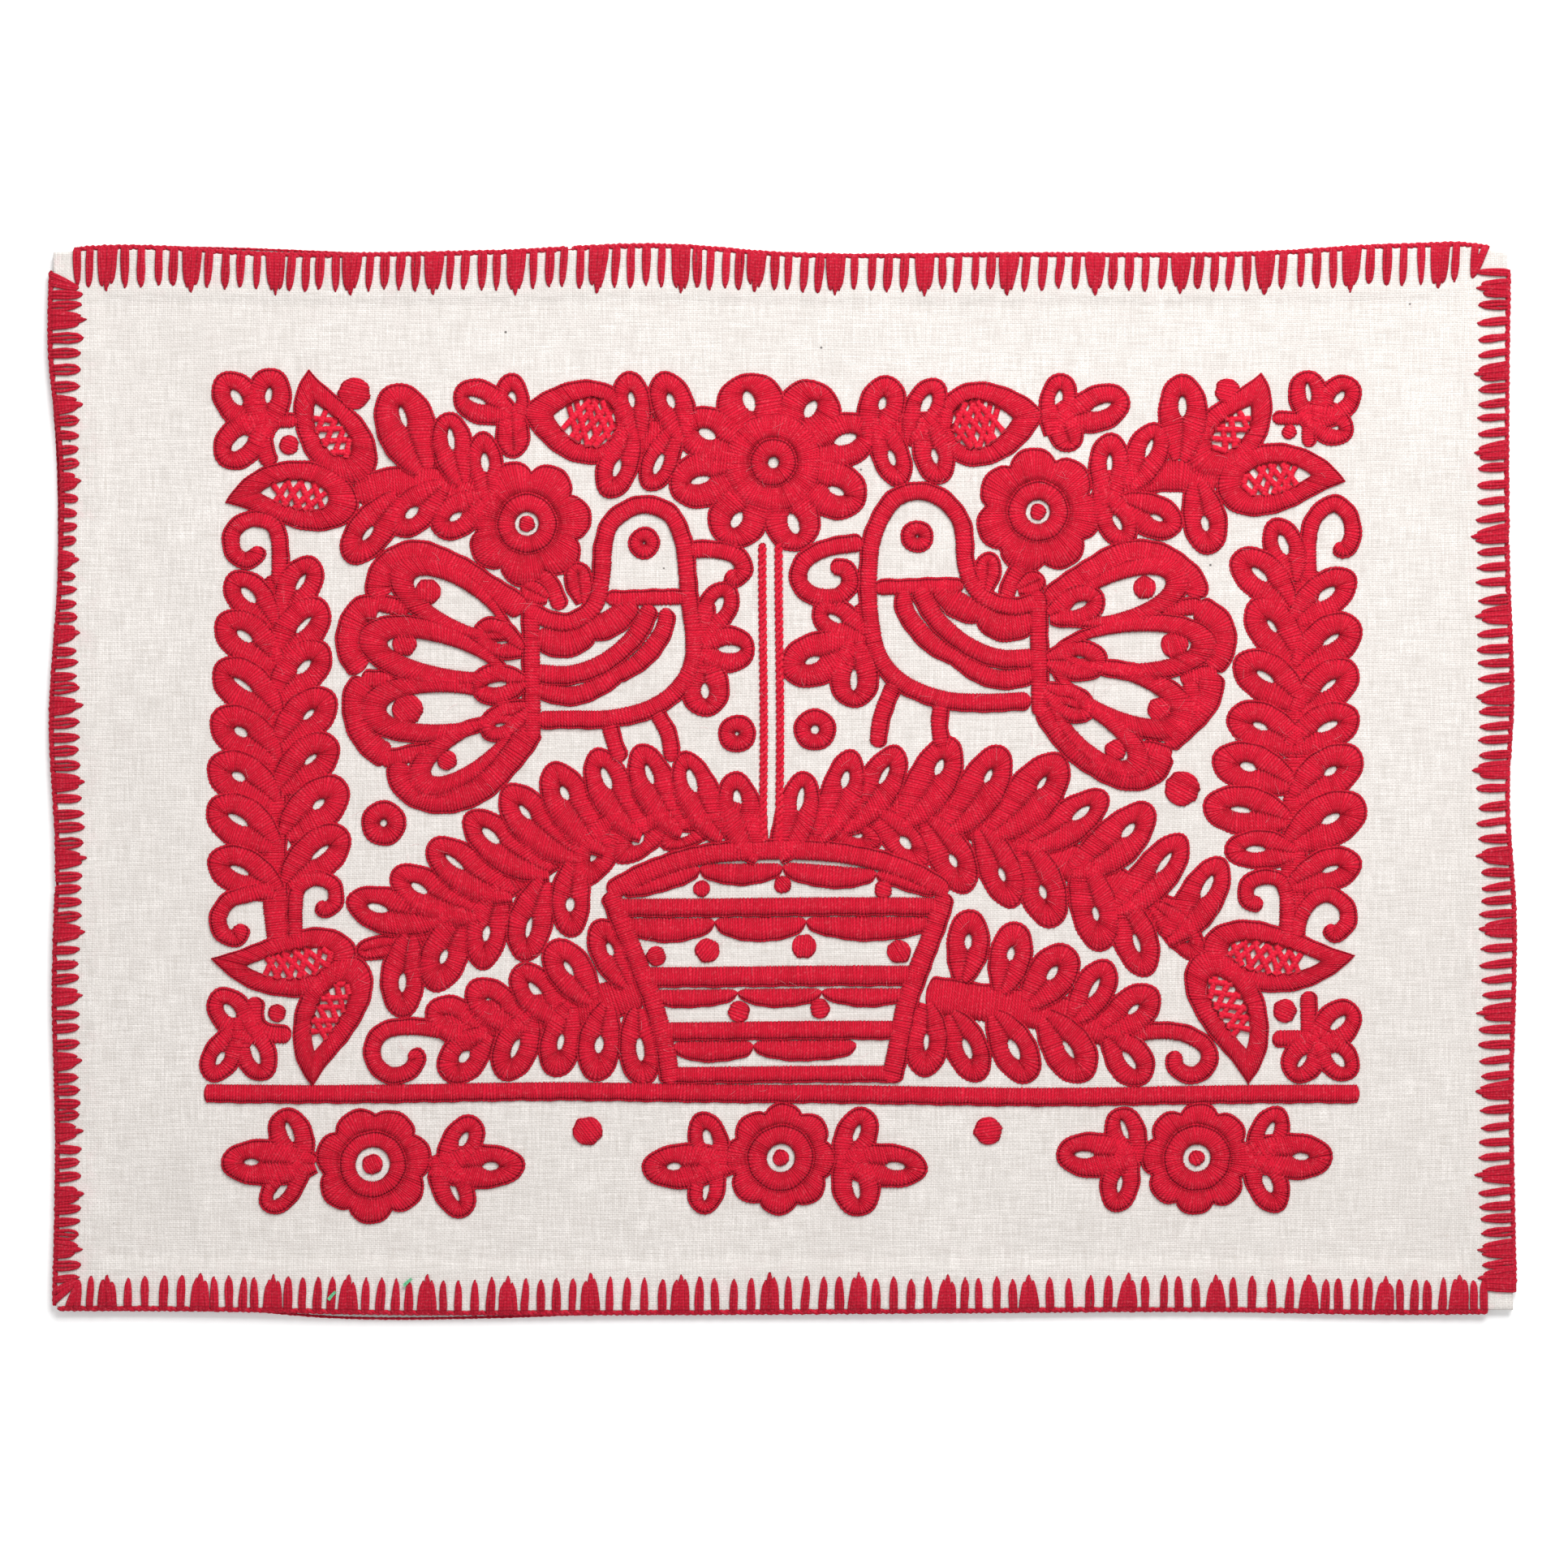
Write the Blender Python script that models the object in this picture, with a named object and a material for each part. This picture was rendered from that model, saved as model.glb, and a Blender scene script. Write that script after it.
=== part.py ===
"""Embroidered pillowcase lying flat with its worked side up.

Two cloth panels lie one on the other. Blanket stitch in wool edges both, and the front panel carries
raised embroidery: sprays of leaves, two birds, a basket, a base bar and a row of flowers.
Everything is drawn in millimetres and scaled to metres when its mesh is made.
"""

import bmesh
import bpy
import numpy as np
from mathutils.geometry import delaunay_2d_cdt

MM = 0.001
GAP = 0.3

# Cloth panels
WIDTH = 672.0
HEIGHT = 489.0
CLOTH = 1.2
HEM_WIDTH = 21.0
HEM_RISE = 0.5
HEM_STEP = 1.5
RIM_WIDTH = 43.0
GRID_CELL = 34.0

# Blanket stitch
RIDGE_WIDTH = 2.0
BAR_THICKNESS = 1.3
BAR_WIDTH = 3.2
BAR_TIP = 0.45
BLOCK_WIDTH = 9.6
BLOCK_TIP = 0.6
BLOCK_EXTRA = 1.8
GROUP_PITCH = 37.4
BARS_IN_GROUP = 5
BLOCK_SHARE = 0.27
PLACE_JITTER = 0.4
WIDTH_JITTER = 0.12
LENGTH_JITTER = 0.06
SLANT = 0.7

# Embroidery
WORK_HEIGHT = 1.6
STITCH_BAND = 9.0
CURL_WIDTH = 8.3
COLLAR_WIDTH = 8.0
LEG_WIDTH = 8.5
BASKET_RIM = 10.0
STEM_WIDTH = 4.0
SPRAY_STEMS = {"side": 13.0, "top": 15.0, "flower": 17.0, "arch": 18.0, "low": 18.0, "breast": 9.0}
LEAF_POINTS = 9
LEAF_CUT = 0.62
LEAF_TAIL = 6.0
LEAF_SHARE = 0.56
LEAF_POINT = 0.22
PAISLEY_BAND = 9.8
PAISLEY_ROOT = 1.7
WINDOW_POINT = 0.4
FEATHER_BAND = 8.4
FEATHER_ROOT = 0.9
FEATHER_POINTS = (0.2, 0.1)
FEATHER_END = 4.4
SIDE_SAGS = {"left_leaves": 9.0, "right_leaves": -8.0}
ARCH_UPPER = {"sag": 17.0, "tail": 15.0, "share": 0.61}
ARCH_LOWER = {"sag": 9.0, "tail": 8.0}
LOW_UPPER = {"sag": 7.0, "tail": 4.0}
LOW_LOWER = {"sag": 6.0, "tail": 2.0}
PAISLEY_POINTS = 18
ROUND_POINTS = 12
DOT_POINTS = 12
POINTS_IN_SCALLOP = 3
POCKET_SIDES = 7
SAMPLES_IN_SPAN = 12
END_LENGTH = 2.4
END_SHARE = 0.45
LOBE_INWARD = 3.3
CURL_STEP = 6.5
LOBE_STEP = 9.0
CURVE_STEP = 11.0
SIDE_STEP = 18.0
STRAIGHT_STEP = 36.0

# Slow waves that move the drawing across by y and x, and along by x and y: height, rate, start
WANDER = {
    "across": ((0.35, 0.041, 0.6), (0.25, 0.083, 1.7)),
    "along": ((0.35, 0.033, 0.4), (0.25, 0.071, 2.1)),
}

# Angle in radians below which neighbouring faces count as one level face
LEVEL = 0.01

BACK_TOP = CLOTH
FRONT_BOTTOM = BACK_TOP + GAP
FRONT_TOP = FRONT_BOTTOM + CLOTH
WORK_BOTTOM = FRONT_TOP + GAP

# How far each side of the front panel stands out of a straight line: place along the side, millimetres.
# Top and bottom run from left to right, left and right run from top to bottom.
SIDE_BOWS = {
    "top": ((0, 0.0), (0.03, 1.4), (0.16, -1.8), (0.3, -0.8), (0.42, 2.2), (0.5, -1.6), (0.66, -1.8),
            (0.83, -1.2), (0.93, 2.4), (0.98, 2.2), (1, -0.6)),
    "bottom": ((0, -1.0), (0.12, -0.6), (0.2, 0.6), (0.4, 1.0), (0.6, 0.2), (0.8, -0.4), (0.92, 0.8),
               (1, 0.4)),
    "left": ((0, 1.6), (0.09, 2.2), (0.2, -3.0), (0.3, -2.4), (0.45, 1.8), (0.56, -1.0), (0.7, 0.4),
             (0.84, -1.0), (1, 0.2)),
    "right": ((0, -0.8), (0.15, -1.6), (0.3, -1.2), (0.42, 0.6), (0.52, -1.4), (0.62, 1.6), (0.8, 0.4),
              (1, 2.0)),
}

# Where the back panel shows past the front one: place along the side, millimetres further out.
BACK_SHOWS = {
    "top": ((0, 0.0), (0.08, 0.4), (0.14, 1.8), (0.22, 0.2), (0.6, 0.0), (1, 0.0)),
    "bottom": ((0, 0.0), (0.13, 0.2), (0.18, 2.2), (0.3, 1.8), (0.37, 0.2), (1, 0.0)),
    "left": ((0, 0.0), (0.08, -0.4), (0.2, 1.6), (0.3, 0.6), (0.5, 0.0), (1, 0.0)),
    "right": ((0, 0.0), (1, 0.0)),
}

# How far the front rim lifts off the back panel: place along the side, millimetres.
RIM_LIFTS = {
    "top": ((0, 0.4), (0.12, 0.1), (0.3, 1.2), (0.5, 0.2), (0.7, 0.9), (0.88, 0.1), (1, 0.8)),
    "bottom": ((0, 0.6), (0.2, 1.4), (0.4, 0.2), (0.6, 0.8), (0.8, 0.1), (1, 0.7)),
    "left": ((0, 0.4), (0.2, 1.5), (0.4, 0.3), (0.6, 1.1), (0.8, 0.2), (1, 0.6)),
    "right": ((0, 0.8), (0.25, 0.2), (0.5, 0.9), (0.75, 0.1), (1, 0.7)),
}

# Blanket stitch on each side: bare lengths at its two ends, and how fat its bars are.
SIDE_STITCHES = {
    "top": (17.5, 6.0, 1.0),
    "bottom": (7.0, 18.5, 1.0),
    "left": (9.0, 18.5, 1.2),
    "right": (20.5, 7.0, 1.05),
}

# Length of the bars on each side: place along the side, millimetres.
BAR_LENGTHS = {
    "top": ((0, 16.4), (0.3, 17.2), (0.7, 16.8), (1, 16.4)),
    "bottom": ((0, 14.4), (0.5, 14.8), (1, 14.4)),
    "left": ((0, 13.5), (0.1, 12.8), (0.2, 8.2), (0.3, 7.2), (0.42, 11.0), (0.52, 12.0), (0.65, 10.8),
             (0.8, 10.2), (1, 10.6)),
    "right": ((0, 13.0), (0.3, 14.4), (0.6, 14.0), (1, 13.8)),
}

CLOTH_COLOUR = (0.79, 0.765, 0.73, 1.0)
WOOL_COLOUR = (0.50, 0.012, 0.035, 1.0)


def material(name, colour, roughness):
    """Principled material with one colour."""
    made = bpy.data.materials.new(name)
    made.use_nodes = True
    shader = made.node_tree.nodes["Principled BSDF"]
    shader.inputs["Base Color"].default_value = colour
    shader.inputs["Roughness"].default_value = roughness
    shader.inputs["Metallic"].default_value = 0.0
    return made


def add_object(name, bm, finish):
    """Object whose mesh is given in millimetres."""
    bmesh.ops.scale(bm, vec=(MM, MM, MM), verts=bm.verts)
    mesh = bpy.data.meshes.new(name)
    bm.to_mesh(mesh)
    bm.free()
    made = bpy.data.objects.new(name, mesh)
    made.data.materials.append(finish)
    bpy.context.scene.collection.objects.link(made)
    return made


# Curves

def smooth_table(rows, places):
    """Value at each place of a smooth curve through the rows of a table."""
    at, value = np.array(rows, float).T
    slope = np.gradient(value, at)
    k = np.clip(np.searchsorted(at, places) - 1, 0, len(at) - 2)
    width = at[k + 1] - at[k]
    t = (places - at[k]) / width
    rise = value[k + 1] - value[k]
    ease = t * t * (3 - 2 * t)
    lean_in = t * (1 - t) ** 2 * width * slope[k]
    lean_out = t * t * (1 - t) * width * slope[k + 1]
    return value[k] + rise * ease + lean_in - lean_out


def smooth_curve(points, step=CURVE_STEP):
    """Points about a step apart on a Catmull-Rom curve through the given ones."""
    p = np.array(points, float)
    ends = np.concatenate([2 * p[:1] - p[1:2], p, 2 * p[-1:] - p[-2:-1]])
    t = np.linspace(0, 1, SAMPLES_IN_SPAN, endpoint=False)[:, None]
    runs = []
    for a, b, c, d in zip(ends[:-3], ends[1:-2], ends[2:-1], ends[3:]):
        square = 2 * a - 5 * b + 4 * c - d
        cube = 3 * b - a - 3 * c + d
        runs.append(0.5 * (2 * b + (c - a) * t + square * t**2 + cube * t**3))
    curve = np.concatenate(runs + [p[-1:]])
    along = np.concatenate([[0], np.cumsum(np.linalg.norm(np.diff(curve, axis=0), axis=1))])
    count = max(int(round(along[-1] / step)) + 1, 3)
    places = np.linspace(0, along[-1], count)
    return np.stack([np.interp(places, along, curve[:, 0]), np.interp(places, along, curve[:, 1])], 1)


def left_of(curve):
    """Unit vectors to the left of a curve's run."""
    run = np.gradient(curve, axis=0)
    run /= np.linalg.norm(run, axis=1)[:, None]
    return np.stack([-run[:, 1], run[:, 0]], 1)


def direction(heading):
    """Unit vector of a heading in degrees."""
    return np.array([np.cos(np.radians(heading)), np.sin(np.radians(heading))])


def set_down(outline, x, y, heading):
    """Turns an outline drawn along +X to a heading and moves its start to a point."""
    ahead = direction(heading)
    aside = np.array([-ahead[1], ahead[0]])
    return outline[:, :1] * ahead + outline[:, 1:] * aside + (x, y)


def drop(turn, length, width, point):
    """Teardrop from its point at the start to its round end at +X; a larger point is sharper."""
    share = 0.5 * (1 - np.cos(turn))
    trial = np.linspace(0, np.pi, 200)
    widest = np.max(np.sin(trial) * (0.5 * (1 - np.cos(trial))) ** point)
    return np.stack([length * share, 0.5 * width * np.sin(turn) * share**point / widest], 1)


def bent(outline, length, sag):
    """Bends an outline about a parabola that lies sag aside at its far end."""
    x, y = outline.T
    slope = 2 * sag * x / length**2
    size = np.hypot(slope, 1)
    return np.stack([x - y * slope / size, sag * (x / length) ** 2 + y / size], 1)


def round_turn(count):
    """Angles evenly round a full turn."""
    return np.linspace(0, 2 * np.pi, count, endpoint=False)


# Stitched shapes. Each is a list of bands, and a band is an outline and the window in it, or None.

def leaf(x, y, heading, length, width, sag=0.0, tail=LEAF_TAIL, share=LEAF_SHARE):
    """Filled leaf with a cut root, placed by the slit on its middle line; a tail makes it longer."""
    middle = share * length + tail
    length += tail
    outline = drop(np.linspace(LEAF_CUT, 2 * np.pi - LEAF_CUT, LEAF_POINTS), length, width, LEAF_POINT)
    heading -= np.degrees(np.arctan(2 * sag * middle / length**2))
    slit = set_down(np.array([[middle, sag * (middle / length) ** 2]]), 0, 0, heading)[0]
    return [(set_down(bent(outline, length, sag), x - slit[0], y - slit[1], heading), None)]


def leaves(rows, sag=0.0, tail=LEAF_TAIL, share=LEAF_SHARE):
    """Leaves of one row: slit's x and y, heading, length and width of each."""
    return [band for row in rows for band in leaf(*row, sag, tail, share)]


def paisley(x, y, heading, length, width, sag=0.0, band=PAISLEY_BAND, point=0.5):
    """Teardrop band round an open window, thicker at the point."""
    start = PAISLEY_ROOT * band
    outer = drop(round_turn(PAISLEY_POINTS), length, width, point)
    inner = drop(round_turn(ROUND_POINTS), length - start - band, width - 2 * band, WINDOW_POINT)
    rings = [set_down(bent(ring, length, sag), x, y, heading) for ring in (outer, inner + (start, 0))]
    return [tuple(rings)]


def feather(x, y, heading, length, width):
    """Round-ended band of the tail about a window that is open at the root."""
    start = FEATHER_ROOT * FEATHER_BAND
    long = length - start - FEATHER_BAND - FEATHER_END
    outer = drop(round_turn(PAISLEY_POINTS), length, width, FEATHER_POINTS[0])
    inner = drop(round_turn(ROUND_POINTS), long, width - 2 * FEATHER_BAND, FEATHER_POINTS[1])
    return [tuple(set_down(ring, x, y, heading) for ring in (outer, inner + (start, 0)))]


def circle(x, y, radius, count=ROUND_POINTS):
    """Round outline."""
    turn = round_turn(count)
    return np.array((x, y)) + radius * np.stack([np.cos(turn), np.sin(turn)], 1)


def dot(x, y, radius):
    """Small filled wheel."""
    return [(circle(x, y, radius, DOT_POINTS), None)]


def rosette(x, y, radius, petals, depth, turned, window):
    """Ring of round petals about a window; the petals' notches fall back by a share of the radius."""
    turn = np.radians(turned) + round_turn(POINTS_IN_SCALLOP * petals)
    swell = np.abs(np.sin(petals * (turn - np.radians(turned)) / 2)) ** 0.6
    reach = radius * (1 - depth * (1 - swell))
    edge = np.array((x, y)) + reach[:, None] * np.stack([np.cos(turn), np.sin(turn)], 1)
    return [(edge, circle(x, y, window, DOT_POINTS))]


def stroke(points, width, side=1, deep=0.0, step=CURVE_STEP, scallops=1, inward=0.0):
    """Band along a curve with narrowed ends.

    Swells reach out by deep on its left side, or its right with side -1; inward widens the other side.
    """
    curve = smooth_curve(points, step)
    if deep:
        places = np.linspace(0, 1, POINTS_IN_SCALLOP * scallops + 1)
        index = np.linspace(0, 1, len(curve))
        curve = np.stack([np.interp(places, index, curve[:, 0]), np.interp(places, index, curve[:, 1])], 1)
        swell = deep * np.abs(np.sin(np.pi * scallops * places)) ** 0.6
    else:
        first, last = curve[1] - curve[0], curve[-2] - curve[-1]
        start = curve[:1] + END_LENGTH * first / np.linalg.norm(first)
        stop = curve[-1:] + END_LENGTH * last / np.linalg.norm(last)
        curve = np.concatenate([curve[:1], start, curve[1:-1], stop, curve[-1:]])
        swell = np.zeros(len(curve))
    half = np.full(len(curve), width / 2)
    half[[0, -1]] *= END_SHARE
    aside = side * left_of(curve)
    far = curve + aside * (half + swell)[:, None]
    near_side = curve - aside * (half * (1 + 2 * inward / width))[:, None]
    return [(np.concatenate([near_side, far[::-1]]), None)]


# Tables of the motifs. A leaf's row gives its slit's x and y, its heading, its length and its width.

SIDE_SPRAYS = {
    "left": {
        "stem": [(-233, 96), (-236, 50), (-236, 0), (-235, -45), (-232, -76)],
        "curls": [
            [(-232.5, 90), (-232.5, 110), (-236, 119.5), (-246, 122), (-254, 116.5), (-254.5, 107),
             (-249, 102)],
            [(-235, -48), (-246, -51.5), (-256, -54.5), (-261, -63), (-258.5, -71), (-252, -72.5)],
            [(-226, -74), (-226, -58), (-224, -48.5), (-216, -44.5), (-207.5, -48), (-206.5, -56),
             (-211.5, -59.5)],
        ],
        "left_leaves": [
            (-247, 86, 133, 29, 21), (-249, 67, 143, 33, 24), (-250, 45, 143, 34, 24.5),
            (-251, 23, 147, 34, 25), (-252, 2, 150, 34, 25), (-252, -18, 150, 34, 25),
            (-251, -41, 155, 34, 23)],
        "right_leaves": [
            (-223, 92, 58, 29, 21), (-222, 72, 45, 33, 24), (-222, 53, 42, 33, 23.5), (-220, 31, 42, 34, 24),
            (-219, 10, 40, 34, 24), (-215, -11, 38, 36, 25), (-214, -33, 38, 36, 24)],
    },
    "right": {
        "stem": [(244, 98), (240, 60), (238, 0), (237, -40), (236, -76)],
        "curls": [
            [(243.5, 92), (243.5, 112), (247, 123), (255.5, 128.5), (263, 123), (264.5, 113),
             (260.5, 106.5)],
            [(237, -73), (240, -62), (246, -54.5), (254, -52.5), (261.5, -58), (262, -66), (256, -71.5)],
            [(234, -76), (234.5, -58), (231, -46.5), (222, -44.5), (215, -48.5), (215.5, -56)],
        ],
        "left_leaves": [
            (232, 109, 112, 28, 20), (221, 95, 138, 34, 23), (226.5, 71, 128, 34, 24),
            (223, 48, 147, 35, 24), (220.5, 25, 157, 35, 24), (215, 6, 162, 37, 24),
            (212, -14, 172, 38, 24), (219, -32, 180, 31, 19)],
        "right_leaves": [
            (252, 86, 36, 36, 22), (254, 65, 33, 35, 24), (252.5, 44, 38, 36, 23), (252, 25, 25, 35, 23),
            (253.5, 4, 33, 37, 25), (254, -18, 26, 39, 26), (254, -41, 18, 33, 21)],
    },
}

# Paisleys of the corners: point's x and y, heading, length, width, sag.
CORNER_PAISLEYS = {
    "paisleys_top_left": ((-220, 191, -92, 49, 31, 32), (-258, 129, 28, 52, 32, -33)),
    "paisleys_top_right": ((221, 189, 265, 47, 31, -29), (261, 138.5, 163, 55, 33, 24)),
    "paisleys_bottom_left": ((-264.5, -82, -19, 62, 32, 27), (-218, -141.5, 98, 54, 31, -33)),
    "paisleys_bottom_right": ((265.5, -81, 197, 65, 33, -28), (215, -141, 84, 57, 32, 31)),
}

# Clovers: leaves, then strokes with their widths.
CLOVERS = {
    "clover_top_left": (
        ((-253, 177.5, 124, 31, 22), (-238.5, 178.5, 80, 30, 22), (-251.5, 156.5, 224, 31, 23)),
        (([(-240.5, 171), (-240.5, 157), (-237, 146)], 9), ([(-246, 167), (-225, 167)], 7.5))),
    "clover_top_right": (
        ((243, 179, 98, 25, 20), (257.5, 177, 48, 27, 20), (254, 164, 335, 25, 19)),
        (([(226, 167.5), (246, 167.5)], 7), ([(243.5, 171), (243.5, 154)], 7.5))),
    "clover_bottom_left": (
        ((-256, -106.5, 130, 28, 20), (-260.5, -128, 238, 28, 18), (-244.5, -126, 292, 30, 20)),
        (([(-244.5, -100), (-244, -112), (-237, -116.5), (-228, -117)], 9),)),
    "clover_bottom_right": (
        ((257, -112.5, 42, 28, 21), (257, -129, 312, 26, 19), (240, -130, 232, 24, 21)),
        (([(243.5, -98), (243.5, -120)], 8.5), ([(226, -120), (248, -120)], 8.5))),
}

# Top sprays: stem, the two large leaves with their sag, small leaves.
TOP_SPRAYS = {
    "left": (
        [(-198, 134), (-180, 138), (-160, 138), (-142, 133)],
        ((-176, 168, 107, 48, 28), (-154, 157.5, 100, 38, 20)), -7,
        ((-138, 147, 97, 33, 18), (-171.5, 124, 222, 31, 21), (-151.5, 122, 214, 29, 21),
         (-191.5, 114.5, 232, 38, 22))),
    "right": (
        [(201, 138), (182, 141), (160, 139), (144, 134)],
        ((185, 173, 92, 45, 24), (169.5, 154, 68, 36, 21)), 7,
        ((151, 147, 90, 33, 20), (155, 120, 300, 28, 20), (173.5, 122, 335, 30, 21),
         (196, 119, 282, 34, 21))),
}

SPROUTS = {
    "left": ((-125, 158, 275, 21, 17), (-142, 175.5, 160, 27, 21), (-125.5, 176.5, 92, 28, 17)),
    "right": ((131, 161, 290, 21, 17), (147, 173, 20, 32, 22), (127.5, 177, 80, 28, 18)),
}

FLOWER_SPRAYS = {
    "left": (
        [(-75, 161), (-66, 160), (-56, 160), (-44, 164)],
        ((-70.5, 176.5, 100, 31, 19), (-52, 176, 110, 33, 21), (-77, 145, 250, 33, 20),
         (-57.5, 147, 245, 31, 18))),
    "right": (
        [(42, 163), (54, 163), (65, 162), (75, 162)],
        ((46, 174, 75, 31, 22), (66, 174, 65, 30, 19), (50.5, 149, 290, 32, 18), (70, 150, 285, 30, 20))),
}

# Tails: the purled side, lobes' middle lines, feathers (root's x and y, heading, length, width), leaves,
# and short bands that fill the wedges between the lobes.
TAILS = {
    "left": (
        -1,
        ([(-118, 80), (-134, 90), (-152, 101), (-170, 107), (-183, 101.5), (-188.5, 91), (-187, 83)],
         [(-187, 82), (-196, 80), (-201.5, 71.5), (-202, 60), (-196.5, 49.5)],
         [(-195, 48), (-200, 38), (-198, 25), (-191, 14), (-183, 9)],
         [(-179, 8), (-178.5, 0), (-170.5, -8.5), (-158, -11.5), (-141, -7), (-126, 7), (-114, 24)]),
        ((-124, 66, 150, 66, 31), (-126, 49, 166, 73, 31), (-124, 34, 181, 73, 33), (-122, 30, 214, 62, 28)),
        ((-132, 65.5, 155, 25, 19), (-132.5, 44.5, 186, 26, 20), (-129.5, 27.5, 212, 25, 18)),
        ([(-172, 79), (-190, 83)], [(-180, 47), (-195, 47.5)], [(-163, 14), (-187, 9.5)])),
    "right": (
        1,
        ([(122, 84.5), (143, 99.5), (159.5, 107.5), (175, 106), (187, 98.6), (192.8, 90.2), (192, 84)],
         [(192.8, 82), (203, 74.5), (206, 65.3), (203.5, 56.9), (199.3, 51)],
         [(200.5, 49.5), (198.7, 38.4), (192.4, 29.2), (184, 21), (178, 16)],
         [(178, 12.5), (172.8, 3.3), (162.8, -0.6), (150.3, 2.7), (136.4, 11.6), (126.2, 22.7), (119.5, 34)]),
        ((126, 75.5, 18, 67, 31), (124, 60, 2.5, 78, 31), (124, 52.5, -21, 73, 33), (122, 40, -39, 60, 27)),
        ((136.4, 81, 20, 27, 20), (136.4, 56, 0, 28, 20), (132.7, 36.6, -28, 25, 18)),
        ([(176, 79.5), (195, 81)], [(184, 47.5), (201, 50.5)], [(189, 47), (191, 30)],
         [(165, 16), (180, 12)])),
}

# Birds: purled side, lines of their bands, and how far neck and wing are moved from the left bird's.
BIRDS = {
    "left": {
        "side": 1,
        "outline": [
            (-119, 79.5), (-106, 74), (-96, 74.5), (-87, 82), (-84, 96), (-83, 110), (-79, 121), (-66, 128.5),
            (-52, 124.5), (-45.5, 112), (-43.5, 98), (-42.5, 84), (-40.5, 68), (-41.5, 54), (-49, 42),
            (-62, 33.5), (-80, 29), (-98, 28.5), (-114, 28)],
        "upright": [(-116.5, 83), (-116.5, 50), (-116.5, 19)],
        "collar": [(-82, 84.5), (-44, 85.5)],
        "legs": ([(-81, 28), (-78.5, 19), (-75, 9)], [(-59, 33), (-53, 22), (-51, 9)]),
        "beak": [(-43, 107.5), (-31, 107.5), (-21, 104.5), (-17.5, 98), (-21.5, 93.5)],
        "neck_shift": (0, 0),
        "wing_shift": (0, 0),
    },
    "right": {
        "side": -1,
        "outline": [
            (119.7, 84.5), (110, 81), (101, 82), (92.5, 86), (87.4, 93), (85, 102), (84.5, 111), (82.5, 121),
            (75, 130), (64, 134.3), (53, 131.5), (46, 123), (41.5, 111), (40, 98), (39.8, 84), (41, 70),
            (43.5, 59), (49.5, 49.5), (60, 42), (76, 37), (95, 36.3), (115, 37.5)],
        "upright": [(119.2, 88), (119.2, 60), (119.5, 30)],
        "collar": [(84, 90.5), (43, 89)],
        "legs": ([(52, 45.5), (45.7, 29), (44, 15)], [(73.5, 38), (72.2, 27), (73.5, 15)]),
        "beak": [(38, 110.3), (20, 107.5), (9.5, 101), (7.5, 91.5), (14.5, 85), (26, 84.5), (32, 91),
                 (29.5, 98)],
        "neck_shift": (1.0, 4.5),
        "wing_shift": (2.5, 7.5),
    },
}

# Sprigs before the breasts: leaves, stem.
BREAST_SPRIGS = {
    "left": (
        ((-29.5, 81, 62, 28, 19), (-24.5, 61, 0, 27, 22), (-36, 42, 272, 28, 23)),
        [(-35, 84), (-35, 66), (-36, 50)]),
    "right": (
        ((24.5, 74.5, 150, 27, 20), (13.5, 55.5, 200, 36, 25), (33, 46.5, 268, 30, 24)),
        [(38, 82), (37, 66), (37, 54)]),
}

# Arches: stem, upper leaves, lower leaves, and the side that the lower ones bend to.
ARCHES = {
    "left": (
        [(-8, -24), (-30, -17), (-53, -15), (-75, -18), (-94, -26), (-118, -40), (-136, -51), (-152, -60),
         (-174, -70)],
        ((-21, -9, 100, 29, 22), (-42, 0, 110, 32, 22), (-62, 3, 112, 34, 23), (-82, 1, 114, 34, 23),
         (-101, -6, 118, 36, 24), (-119, -15, 132, 36, 24), (-135, -26, 140, 36, 23),
         (-152, -38, 142, 34, 23), (-168, -50, 148, 34, 23), (-187, -59, 164, 34, 23)),
        ((-45, -24, 205, 28, 15), (-67, -27, 217, 32, 18), (-87, -34, 240, 35, 21), (-98, -57, 268, 34, 19),
         (-117, -68, 257, 36, 22), (-137, -71, 258, 38, 21), (-157, -82, 248, 38, 23),
         (-176, -94, 266, 36, 21), (-189, -78, 192, 21, 12)), 1),
    "right": (
        [(8, -24), (32, -17), (56, -14), (80, -17), (104, -24), (126, -34), (148, -44), (170, -58),
         (190, -66)],
        ((8, -9, 80, 29, 21), (29, 0, 76, 32, 21), (47, 2, 62, 34, 22), (72, 6, 66, 36, 24),
         (95, 2, 62, 36, 24), (120, -1, 55, 37, 26), (138, -15, 38, 34, 21), (160, -23, 45, 36, 24),
         (177, -38, 52, 36, 22), (197, -49, 62, 34, 22)),
        ((34, -25, 342, 28, 15), (57, -29, 312, 32, 18), (79, -37, 300, 36, 22), (102, -43, 292, 36, 21),
         (121, -51, 288, 38, 23), (145, -61, 282, 40, 23), (164, -75, 288, 36, 22),
         (186, -72, 308, 30, 17)), -1),
}

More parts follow.
